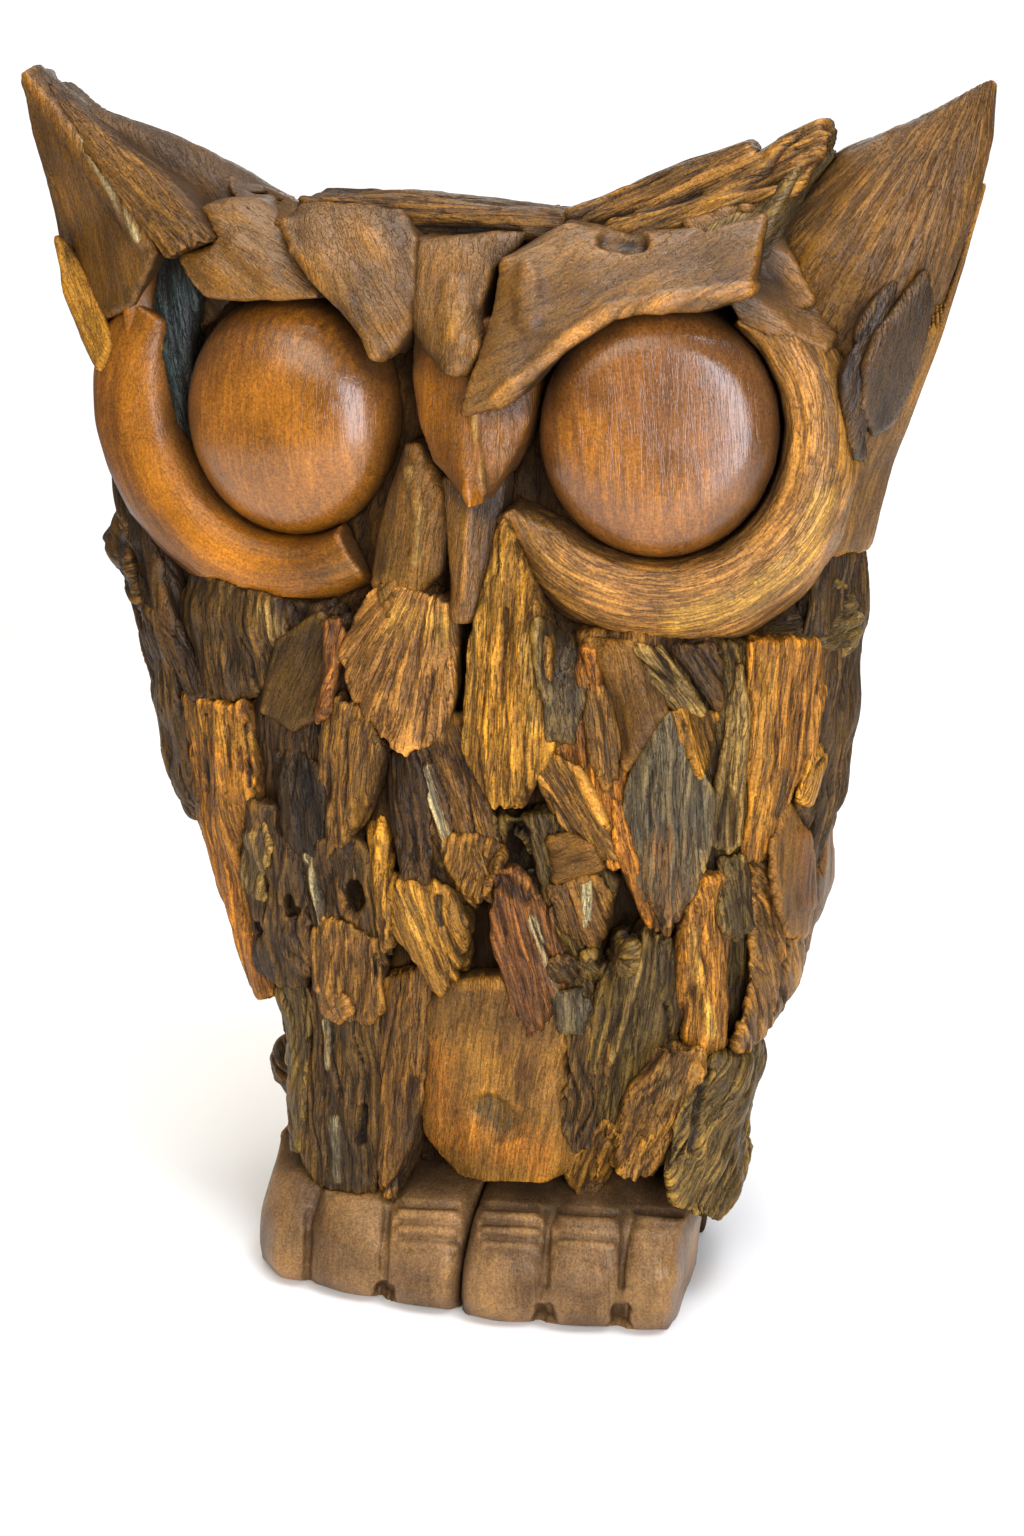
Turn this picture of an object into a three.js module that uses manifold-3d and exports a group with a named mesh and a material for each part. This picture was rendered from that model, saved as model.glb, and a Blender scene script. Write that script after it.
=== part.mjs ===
// Carved wooden owl: a log trunk with root chips, turned eye caps, crescent rims,
// horns, brows, a beak and two foot blocks glued on it.
// Millimetres, +Z up. The owl faces -Y and its left side in the front view is -X.
// The origin is the middle of the underside.
import * as THREE from "three";
import { mergeVertices } from "three/addons/utils/BufferGeometryUtils.js";
import Module from "manifold-3d";

const wasm = await Module();
wasm.setup();

// Driving dimensions
const GLUE_GAP = 0.5;
const CUT_TOLERANCE = 0.2;
const TRUNK_TOP = 536;
const TRUNK_SIDES = 18;
const TRUNK_STEP = 44;
const TRUNK_FURROW = 2.2;
const SECTION_POWER = 2.4;
const SKIN_STEPS = 96;
const CHIP_ROOT = 13;
const SIDE_SHARE = 0.97;
const TYPICAL_LIFT = 14;
const LOW_LIFT = 13;
const LOW_FULLNESS = 1.3;

const EYE_RADIUS = 55.5;
const EYE_OFFSETS = { left: -88, right: 74 };
const EYE_HEIGHT = 450;
const EYE_TURN = THREE.MathUtils.degToRad(8);
const EYE_SIDES = 22;
const EYE_STRETCH = 1.03;

const FOOT_CURVE = 15;
const FOOT_HALF_SPAN = 118;
const FOOT_LEAN = 5;
const TOE_GROOVE = 7;
const TOE_SHARES = [0, 0.1, 0.5, 0.9, 1];
const TOE_ROUNDING = 0.22;
const OUTER_CORNER = 9;

// The trunk's section at each height: z, centre x, half width, depth to the front, depth to the back
const TRUNK_STATIONS = [
  [0, -4, 104, 58, 64],
  [60, -5, 108, 66, 68],
  [120, -5, 119, 74, 72],
  [180, -3, 143, 79, 77],
  [240, -5, 160, 81, 80],
  [300, -9, 168, 80, 80],
  [360, -13, 171, 75, 78],
  [420, -16, 171, 67, 74],
  [480, -16, 165, 58, 68],
  [520, -13, 152, 52, 60],
  [620, -13, 120, 40, 46],
];

// Wood colours as the finish shows them
const WOOD = {
  trunk: 0x4a3322,
  eye: 0x8c4a20,
  rimOrange: 0x9a4e16,
  rimPale: 0x8f7a4a,
  brow: 0x7a5228,
  horn: 0x7d4f28,
  beak: 0x8d5a22,
  grey: 0x5a4f45,
  dark: 0x4b3524,
  gold: 0xa56a1e,
  ochre: 0xb0853a,
  red: 0x7c4620,
  tan: 0x7b5a34,
  foot: 0x6b4e36,
};

// A repeatable uneven value between -1 and 1
function uneven(seed, index) {
  const wave = Math.sin(seed * 12.9898 + index * 78.233) * 43758.5453;
  return 2 * (wave - Math.floor(wave)) - 1;
}

function seedOf(name) {
  return [...name].reduce((sum, letter) => (sum * 31 + letter.charCodeAt(0)) % 997, 7);
}

// The trunk's smooth section at a height, between the stations
function section(z) {
  const height = THREE.MathUtils.clamp(z, 0, TRUNK_STATIONS.at(-1)[0]);
  const upper = TRUNK_STATIONS.findIndex((row) => row[0] >= height);
  const above = TRUNK_STATIONS[Math.max(upper, 1)];
  const below = TRUNK_STATIONS[Math.max(upper, 1) - 1];
  const share = (height - below[0]) / (above[0] - below[0]);
  const [, centre, half, front, back] = above.map(
    (value, i) => THREE.MathUtils.lerp(below[i], value, share),
  );
  return { centre, half, front, back };
}

// The section as a line of points, each with its distance along the skin from the front centre line
const girthOf = new Map();
function girth(z) {
  const key = Math.round(z);
  if (girthOf.has(key)) return girthOf.get(key);
  const { centre, half, front, back } = section(key);
  const power = 2 / SECTION_POWER;
  const side = (direction) => {
    const line = [];
    for (let i = 0; i <= SKIN_STEPS; i++) {
      const angle = (Math.PI * i) / SKIN_STEPS;
      const depth = Math.cos(angle) > 0 ? front : back;
      const x = centre + direction * half * Math.abs(Math.sin(angle)) ** power;
      const y = -Math.sign(Math.cos(angle)) * depth * Math.abs(Math.cos(angle)) ** power;
      const last = line.at(-1);
      const along = last ? last.along + Math.hypot(x - last.x, y - last.y) : 0;
      line.push({ x, y, along });
    }
    return line;
  };
  const lines = { right: side(1), left: side(-1) };
  girthOf.set(key, lines);
  return lines;
}

// A point on the skin at a distance round from the front centre line, raised by a lift
function onSkin(distance, z, lift) {
  const toBack = girth(z).right.at(-1).along;
  const past = Math.max(Math.abs(distance) - toBack, 0);
  const along = past > 0 ? -Math.sign(distance) * (toBack - past) : distance;
  const line = along >= 0 ? girth(z).right : girth(z).left;
  const reach = Math.abs(along);
  const next = Math.max(1, line.findIndex((point) => point.along >= reach));
  const from = line[next - 1];
  const to = line[next];
  const share = (reach - from.along) / Math.max(to.along - from.along, 1e-6);
  const x = THREE.MathUtils.lerp(from.x, to.x, share);
  const y = THREE.MathUtils.lerp(from.y, to.y, share);
  const { centre, half, front, back } = section(z);
  const depth = y < 0 ? front : back;
  const normal = new THREE.Vector2(
    (Math.sign(x - centre) * Math.abs((x - centre) / half) ** (SECTION_POWER - 1)) / half,
    (Math.sign(y) * Math.abs(y / depth) ** (SECTION_POWER - 1)) / depth,
  ).normalize();
  return new THREE.Vector3(x + normal.x * lift, y + normal.y * lift, z);
}

// Distance round the skin of a place seen from the front, where a typical chip's face is at x
function facing(x, z) {
  const { centre, half } = section(z);
  const sign = Math.sign(x - centre);
  const line = sign > 0 ? girth(z).right : girth(z).left;
  const limit = (half + TYPICAL_LIFT) * SIDE_SHARE;
  const reach = Math.min(Math.abs(x - centre), limit);
  const past = Math.abs(x - centre) - reach;
  const place = line.find(
    ({ along }) => Math.abs(onSkin(sign * along, z, TYPICAL_LIFT).x - centre) >= reach,
  );
  return sign * (place.along + past);
}

function bearing(degrees, z) {
  const { centre } = section(z);
  const line = degrees >= 0 ? girth(z).right : girth(z).left;
  const turn = THREE.MathUtils.degToRad(Math.abs(degrees));
  const place = line.find((point) => Math.atan2(Math.abs(point.x - centre), -point.y) >= turn);
  return Math.sign(degrees) * (place ?? line.at(-1)).along;
}

// A closed solid from its corners and faces, turned outward
function solid(points, faces) {
  const geometry = new THREE.BufferGeometry().setFromPoints(points);
  geometry.setIndex(faces);
  const merged = mergeVertices(geometry, 1e-4);
  const corners = Float32Array.from(merged.getAttribute("position").array);
  const make = (triangles) => new wasm.Manifold(
    new wasm.Mesh({ numProp: 3, vertProperties: corners, triVerts: triangles }),
  );
  const triangles = Uint32Array.from(merged.index.array);
  const first = make(triangles);
  if (first.volume() > 0) return first;
  for (let i = 0; i < triangles.length; i += 3) {
    [triangles[i], triangles[i + 1]] = [triangles[i + 1], triangles[i]];
  }
  return make(triangles);
}

// A skin over rings with equally many points, with a fan over each end
function loft(rings) {
  const size = rings[0].length;
  const points = rings.flat();
  const faces = [];
  for (let ring = 0; ring + 1 < rings.length; ring++) {
    for (let i = 0; i < size; i++) {
      const a = ring * size + i;
      const b = ring * size + ((i + 1) % size);
      faces.push(a, b, b + size, a, b + size, a + size);
    }
  }
  const middle = (ring) => ring
    .reduce((sum, point) => sum.add(point), new THREE.Vector3())
    .divideScalar(size);
  const firstMiddle = points.push(middle(rings[0])) - 1;
  const lastMiddle = points.push(middle(rings.at(-1))) - 1;
  const lastRing = (rings.length - 1) * size;
  for (let i = 0; i < size; i++) {
    const next = (i + 1) % size;
    faces.push(next, i, firstMiddle, lastRing + i, lastRing + next, lastMiddle);
  }
  return solid(points, faces);
}

// The log: sections of the trunk, furrowed from top to bottom like barkless old wood
function trunk(grow) {
  const rings = [];
  const count = Math.round(TRUNK_TOP / TRUNK_STEP);
  for (let ring = 0; ring <= count; ring++) {
    const z = (TRUNK_TOP * ring) / count;
    const reach = girth(z).right.at(-1).along;
    const points = [];
    for (let i = 0; i < TRUNK_SIDES; i++) {
      const along = reach * (2 * ((i + 0.5) / TRUNK_SIDES) - 1);
      const furrow = TRUNK_FURROW * (uneven(i, 1) + 0.5 * uneven(i, ring + 3));
      const height = z + (ring === 0 ? -grow : 0) + (ring === count ? grow : 0);
      const point = onSkin(along, z, furrow + grow);
      points.push(point.setZ(height));
    }
    rings.push(points);
  }
  return loft(rings);
}

// Where the top of a chip or slab bends, as shares of its half width
const COLUMNS = [-1, -0.45, 0.4, 1];

// A chip on the skin: ribs across a spine, a crowned top and a root that reaches into the trunk.
// A low chip is fuller than it looks, because the higher ones lie on its edges.
function chip(name, { spine, widths, lift, footLift = lift, crown = 4, ragged = 0, twist = 0 }) {
  const seed = seedOf(name);
  const fullness = lift < LOW_LIFT ? LOW_FULLNESS : 1;
  const lifts = [lift, footLift];
  const curve = new THREE.SplineCurve(spine.map(([along, z]) => new THREE.Vector2(along, z)));
  return (grow) => {
    const last = widths.length - 1;
    const rings = widths.map((width, i) => {
      const middle = curve.getPointAt(i / last);
      const tangent = curve.getTangentAt(i / last);
      const across = new THREE.Vector2(-tangent.y, tangent.x).multiplyScalar(-1);
      const ends = (i === last ? grow : 0) - (i === 0 ? grow : 0);
      middle.addScaledVector(tangent, ends);
      const place = (share, height) => {
        const half = (fullness * width) / 2 + grow;
        const slip = i === last ? ragged * uneven(seed, share * 7) : 0;
        const spot = middle.clone()
          .addScaledVector(across, share * half)
          .addScaledVector(tangent, slip);
        return onSkin(spot.x, spot.y, height);
      };
      const top = COLUMNS.map((share, column) => {
        const bend = crown * (1 - share * share) + twist * share;
        const rough = 1.3 * uneven(seed + column, i);
        return place(share, THREE.MathUtils.lerp(...lifts, i / last) + bend + rough + grow);
      });
      const root = [1, -1].map((share) => place(share, -CHIP_ROOT - grow));
      return [...top, ...root];
    });
    return loft(rings);
  };
}

// A slab that faces forward: each rib runs from one edge point to the other, [x, y, z] each
const RIDGE_COLUMNS = [-1, -0.5, 0, 0.5, 1];
function slab(name, { ribs, crown = 4, ridge = false, thick = 26 }) {
  const seed = seedOf(name);
  return (grow) => {
    const edges = ribs.map(([x1, y1, z1, x2, y2, z2]) => [
      new THREE.Vector3(x1, y1, z1),
      new THREE.Vector3(x2, y2, z2),
    ]);
    const middles = edges.map(([one, two]) => one.clone().lerp(two, 0.5));
    const rings = edges.map(([one, two], i) => {
      const across = two.clone().sub(one).normalize();
      const before = middles[Math.max(i - 1, 0)];
      const after = middles[Math.min(i + 1, middles.length - 1)];
      const along = after.clone().sub(before).normalize();
      const ends = (i === middles.length - 1 ? grow : 0) - (i === 0 ? grow : 0);
      const place = (share, forward) => one.clone()
        .lerp(two, (share + 1) / 2)
        .addScaledVector(across, share * grow)
        .addScaledVector(along, ends)
        .add(new THREE.Vector3(0, -forward, 0));
      const front = (ridge ? RIDGE_COLUMNS : COLUMNS).map((share, column) => {
        const profile = ridge ? 1 - Math.abs(share) : 1 - share * share;
        const rough = 0.8 * uneven(seed + column, i);
        return place(share, crown * profile + rough + grow);
      });
      const back = [1, -1].map((share) => place(share, -thick - grow));
      return [...front, ...back];
    });
    return loft(rings);
  };
}

// A horn: ribs across the fin, [x, z] at both edges, with the middle depth and the thickness
const HORN_SIDES = 10;
const HORN_ROUNDING = 0.8;
function horn({ ribs }) {
  return (grow) => loft(ribs.map(([x1, z1, x2, z2, y, thick], i) => {
    const across = new THREE.Vector3(x2 - x1, 0, z2 - z1);
    const half = across.length() / 2 + grow;
    across.normalize();
    const tipward = new THREE.Vector3(-across.z, 0, across.x);
    const end = (i === ribs.length - 1 ? grow : 0) - (i === 0 ? grow : 0);
    const middle = new THREE.Vector3((x1 + x2) / 2, y, (z1 + z2) / 2).addScaledVector(tipward, end);
    const rounded = (value) => Math.sign(value) * Math.abs(value) ** HORN_ROUNDING;
    return Array.from({ length: HORN_SIDES }, (_, side) => {
      const angle = (2 * Math.PI * side) / HORN_SIDES;
      const depth = (thick / 2 + grow) * rounded(Math.sin(angle));
      return middle.clone()
        .addScaledVector(across, half * rounded(Math.cos(angle)))
        .add(new THREE.Vector3(0, depth, 0));
    });
  }));
}

// Places a point given in an eye's own frame: across, forward and up from the eye's centre
function atEye(side, across, forward, up) {
  return new THREE.Vector3(across, -forward, up)
    .applyAxisAngle(new THREE.Vector3(0, 0, 1), side * EYE_TURN)
    .add(new THREE.Vector3(side < 0 ? EYE_OFFSETS.left : EYE_OFFSETS.right, 0, EYE_HEIGHT));
}

// A turned cap: each step of its profile as a share of the radius and a depth to the front
const SMOOTH_CAP = [[1, 30], [1, 68], [0.975, 77], [0.91, 84], [0.78, 89.5], [0.55, 93.5], [0.25, 95]];
const BEVELLED_CAP = [[1, 30], [1, 76], [0.97, 82], [0.78, 92.5], [0.6, 94.5], [0.25, 95]];
function eyeCap(side, profile) {
  return (grow) => loft(profile.map(([share, forward], step) => {
    const ring = [];
    const reach = forward + (step === 0 ? -grow : grow);
    for (let i = 0; i < EYE_SIDES; i++) {
      const angle = (2 * Math.PI * i) / EYE_SIDES;
      const radius = share * EYE_RADIUS + grow;
      ring.push(atEye(side, radius * Math.cos(angle), reach, EYE_STRETCH * radius * Math.sin(angle)));
    }
    return ring;
  }));
}

// A crescent round an eye: stations of angle, inner radius, outer radius and crest height.
// Its section is a place across, from the eye outwards, and a share of the crest height.
const BEAD = [[-1, 0.5], [-0.8, 0.9], [-0.15, 1], [0.55, 0.76], [1, 0]];
const BEAD_EDGE = 64;
const BEAD_BACK = 26;
const CRESCENT_STEPS = 12;
function crescent(side, { stations }) {
  const first = stations[0][0];
  const last = stations.at(-1)[0];
  return (grow) => {
    const rings = [];
    for (let step = 0; step <= CRESCENT_STEPS; step++) {
      const degrees = THREE.MathUtils.lerp(first, last, step / CRESCENT_STEPS);
      const next = Math.max(1, stations.findIndex((row) => row[0] >= degrees - 1e-6));
      const share = (degrees - stations[next - 1][0]) / (stations[next][0] - stations[next - 1][0]);
      const [, inner, outer, crest] = stations[next].map(
        (value, i) => THREE.MathUtils.lerp(stations[next - 1][i], value, share),
      );
      const end = (step === CRESCENT_STEPS ? grow : 0) - (step === 0 ? grow : 0);
      const turn = THREE.MathUtils.degToRad(degrees) + end / outer;
      const middle = (inner + outer) / 2;
      const half = (outer - inner) / 2 + grow;
      const ring = BEAD.map(([across, rise]) => {
        const radius = middle + half * across;
        const forward = BEAD_EDGE + (crest - BEAD_EDGE) * rise + grow;
        return atEye(side, radius * Math.cos(turn), forward, radius * Math.sin(turn));
      });
      [middle + half, middle - half].forEach((radius) => {
        ring.push(atEye(side, radius * Math.cos(turn), BEAD_BACK - grow, radius * Math.sin(turn)));
      });
      rings.push(ring);
    }
    return loft(rings);
  };
}

// A foot block with rounded toes, parted by grooves, and a step at the knuckles.
// Its profile runs from the underside's back edge over the toes to the plain sloping top.
const FOOT_BACK = 34;
const FOOT_TOP = 64;
const FOOT_PROFILE = [
  [FOOT_BACK, 0],
  [112, 0],
  [120, 12],
  [119, 34],
  [112, 45],
  [106, 53],
  [60, FOOT_TOP],
  [FOOT_BACK, FOOT_TOP],
];
const TOE_ZONE = 90;
const KNUCKLE_HEIGHT = 40;
function footBlock({ joints, ahead }) {
  const [innerEnd, outerEnd] = [joints[0], joints.at(-1)];
  return (grow) => {
    const rings = [];
    for (let toe = 0; toe + 1 < joints.length; toe++) {
      for (const share of toe === 0 ? TOE_SHARES : TOE_SHARES.slice(1)) {
        const x = THREE.MathUtils.lerp(joints[toe], joints[toe + 1], share);
        const fullness = (1 - (2 * share - 1) ** 2) ** TOE_ROUNDING;
        const curve = FOOT_CURVE * (x / FOOT_HALF_SPAN) ** 2;
        const corner = Math.abs(x) > FOOT_HALF_SPAN - OUTER_CORNER ? OUTER_CORNER : 0;
        const groove = TOE_GROOVE * (1 - fullness) + corner;
        const end = (x === outerEnd ? grow : 0) - (x === innerEnd ? grow : 0);
        rings.push(FOOT_PROFILE.map(([forward, up]) => {
          const inToes = forward > TOE_ZONE;
          const reach = forward + (inToes ? ahead - curve - groove : 0);
          const drop = inToes && up > KNUCKLE_HEIGHT ? groove / 2 : 0;
          const lean = FOOT_LEAN * (1 - up / FOOT_TOP);
          const out = forward > FOOT_BACK ? grow : 0;
          return new THREE.Vector3(x + end - lean, -(reach + out), up - drop + (up > 0 ? grow : -grow));
        }));
      }
    }
    return loft(rings);
  };
}

// An oval hole or dent, cut into a chip
function hollow({ at, radii, turn = 0 }) {
  const ball = new THREE.SphereGeometry(1, 8, 5);
  ball.deleteAttribute("normal");
  ball.deleteAttribute("uv");
  ball.scale(...radii);
  ball.rotateY(THREE.MathUtils.degToRad(turn));
  ball.translate(...at);
  const merged = mergeVertices(ball, 1e-4);
  const positions = merged.getAttribute("position");
  const points = [];
  for (let i = 0; i < positions.count; i++) {
    points.push(new THREE.Vector3().fromBufferAttribute(positions, i));
  }
  return solid(points, Array.from(merged.index.array));
}

// Shorthand for a spine seen from the front, and for one that runs round the sides or the back
const seen = (...places) => places.map(([x, z]) => [facing(x, z), z]);
const wrapped = (...places) => places.map(([degrees, z]) => [bearing(degrees, z), z]);

// Every glued piece, the lowest first: a later piece is cut to lie on the earlier ones
const PIECES = [];
function glue(name, colour, shape, holes = []) {
  PIECES.push({ name, colour, shape, holes });
}

function addHorns() {
  glue("left_horn", WOOD.horn, horn({
    ribs: [
      [-203, 446, -90, 536, -18, 62],
      [-220, 497, -126, 559, -24, 52],
      [-227, 540, -170, 580, -32, 38],
      [-232, 575, -206, 592, -40, 24],
      [-236, 606, -229, 611, -45, 9],
    ],
  }));
  glue("right_horn", WOOD.horn, horn({
    ribs: [
      [116, 508, 188, 452, -22, 70],
      [125, 545, 205, 500, -32, 68],
      [157, 575, 219, 545, -38, 50],
      [194, 590, 225, 577, -43, 26],
      [221, 605, 226, 602, -45, 9],
    ],
  }));
  glue("left_temple_root", WOOD.grey, slab("left_temple_root", {
    crown: 6,
    ribs: [
      [-170, -48, 524, -146, -56, 530],
      [-180, -52, 498, -146, -58, 505],
      [-176, -54, 478, -150, -60, 482],
      [-172, -52, 452, -152, -56, 456],
      [-166, -48, 424, -156, -50, 426],
    ],
  }));
  glue("left_horn_patch", WOOD.ochre, slab("left_horn_patch", {
    crown: 2,
    ribs: [
      [-227, -26, 532, -220, -46, 534],
      [-222, -22, 510, -204, -52, 508],
      [-214, -24, 488, -194, -54, 490],
      [-206, -32, 470, -196, -50, 472],
    ],
  }));
  glue("right_horn_side", WOOD.gold, slab("right_horn_side", {
    crown: 3,
    thick: 20,
    ribs: [
      [212, -56, 556, 221, -34, 560],
      [202, -58, 524, 214, -32, 526],
      [194, -56, 492, 205, -28, 492],
      [178, -54, 458, 194, -22, 458],
      [162, -56, 426, 185, -18, 430],
      [154, -58, 392, 176, -16, 388],
    ],
  }));
  glue("right_temple_root", WOOD.grey, slab("right_temple_root", {
    crown: 5,
    ribs: [
      [184, -66, 518, 194, -52, 522],
      [173, -72, 500, 193, -50, 503],
      [166, -74, 478, 186, -48, 475],
      [168, -68, 458, 177, -50, 454],
      [171, -58, 440, 176, -48, 436],
    ],
  }));
  glue("left_side_knob", WOOD.dark, slab("left_side_knob", {
    crown: 4,
    thick: 34,
    ribs: [
      [-209, -14, 394, -192, -50, 392],
      [-223, -12, 374, -190, -58, 374],
      [-211, -14, 357, -184, -60, 352],
      [-198, -24, 341, -182, -54, 336],
    ],
  }));
  glue("left_ankle_knot", WOOD.dark, slab("left_ankle_knot", {
    crown: 3,
    ribs: [
      [-126, -16, 99, -112, -42, 98],
      [-141, -14, 83, -112, -46, 83],
      [-128, -16, 68, -112, -42, 67],
    ],
  }));
  glue("left_horn_plate", WOOD.horn, slab("left_horn_plate", {
    crown: 9,
    thick: 22,
    ribs: [
      [-236, -42, 602, -230, -50, 610],
      [-234, -36, 565, -200, -62, 577],
      [-231, -30, 528, -168, -70, 548],
      [-228, -30, 505, -160, -74, 526],
      [-214, -36, 486, -176, -68, 500],
    ],
  }));
  glue("left_horn_feather", WOOD.dark, slab("left_horn_feather", {
    crown: 3,
    ribs: [
      [-228, -50, 602, -222, -48, 604],
      [-198, -66, 572, -183, -60, 578],
      [-170, -76, 544, -146, -68, 554],
      [-151, -82, 523, -127, -80, 532],
    ],
  }));
  glue("left_horn_wedge", WOOD.brow, slab("left_horn_wedge", {
    crown: 4,
    thick: 34,
    ribs: [
      [-148, -62, 546, -112, -56, 551],
      [-150, -74, 532, -92, -66, 536],
      [-142, -80, 518, -82, -80, 522],
      [-132, -82, 508, -74, -88, 509],
    ],
  }));
}

function addFace() {
  glue("left_eye", WOOD.eye, eyeCap(-1, SMOOTH_CAP));
  glue("right_eye", WOOD.eye, eyeCap(1, BEVELLED_CAP));
  glue("left_rim", WOOD.rimOrange, crescent(-1, {
    stations: [
      [146, 76, 108, 78],
      [176, 64, 114, 84],
      [215, 59, 108, 86],
      [250, 58, 99, 86],
      [300, 58, 91, 82],
    ],
  }));
  glue("right_rim", WOOD.rimPale, crescent(1, {
    stations: [
      [-152, 74, 88, 86],
      [-138, 62, 95, 88],
      [-100, 60, 104, 90],
      [-60, 60, 107, 90],
      [-10, 58, 93, 86],
      [26, 58, 92, 84],
      [56, 59, 82, 82],
    ],
  }));
  glue("crown_board", WOOD.tan, slab("crown_board", {
    crown: 1,
    thick: 52,
    ribs: [
      [-92, -62, 543, -92, -60, 551],
      [-50, -64, 538, -50, -62, 552],
      [-10, -66, 536, -10, -64, 549],
      [36, -66, 536, 36, -62, 545],
    ],
  }));
  glue("right_crest_splinters", WOOD.tan, crestSplinters);
  glue("forehead", WOOD.brow, slab("forehead", {
    crown: 6,
    thick: 34,
    ribs: [
      [-38, -68, 535, 20, -68, 537],
      [-36, -78, 521, 6, -80, 522],
      [-33, -88, 503, 2, -90, 504],
      [-22, -94, 488, 5, -98, 489],
      [-9, -99, 478, 0, -100, 478],
    ],
  }));
  glue("beak", WOOD.beak, slab("beak", {
    crown: 12,
    ridge: true,
    thick: 40,
    ribs: [
      [-30, -80, 500, 22, -80, 500],
      [-31, -84, 472, 28, -84, 470],
      [-27, -88, 455, 27, -88, 456],
      [-19, -93, 438, 21, -93, 440],
      [-8, -99, 427, 14, -99, 428],
      [3, -106, 419, 9, -106, 420],
    ],
  }));
  glue("left_brow", WOOD.brow, slab("left_brow", {
    crown: 4,
    thick: 36,
    ribs: [
      [-88, -62, 549, -41, -64, 547],
      [-96, -74, 540, -30, -78, 534],
      [-87, -86, 529, -27, -90, 512],
      [-67, -95, 511, -29, -96, 497],
      [-49, -100, 493, -35, -100, 488],
      [-44, -102, 484, -39, -102, 483],
    ],
  }));
  glue("right_brow", WOOD.brow, slab("right_brow", {
    crown: 4,
    thick: 36,
    ribs: [
      [0, -104, 460, 4, -104, 473],
      [25, -104, 470, 12, -98, 500],
      [45, -101, 492, 14, -88, 526],
      [62, -98, 504, 40, -76, 542],
      [84, -96, 508, 69, -76, 537],
      [104, -92, 508, 104, -74, 541],
      [124, -86, 514, 130, -72, 547],
    ],
  }));
}

// Two crossed splinters that form one torn crest
function crestSplinters(grow) {
  const torn = slab("torn_splinter", {
    crown: 3,
    thick: 30,
    ribs: [
      [33, -60, 536, 33, -58, 545],
      [63, -62, 533, 53, -56, 551],
      [93, -62, 546, 87, -54, 566],
      [123, -60, 568, 118, -54, 577],
    ],
  });
  const barbed = slab("barbed_splinter", {
    crown: 3,
    thick: 34,
    ribs: [
      [57, -68, 530, 58, -64, 541],
      [75, -72, 524, 68, -64, 547],
      [110, -70, 538, 102, -60, 560],
      [141, -66, 556, 131, -58, 576],
      [155, -60, 578, 152, -56, 586],
    ],
  });
  return torn(grow).add(barbed(grow));
}

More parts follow.
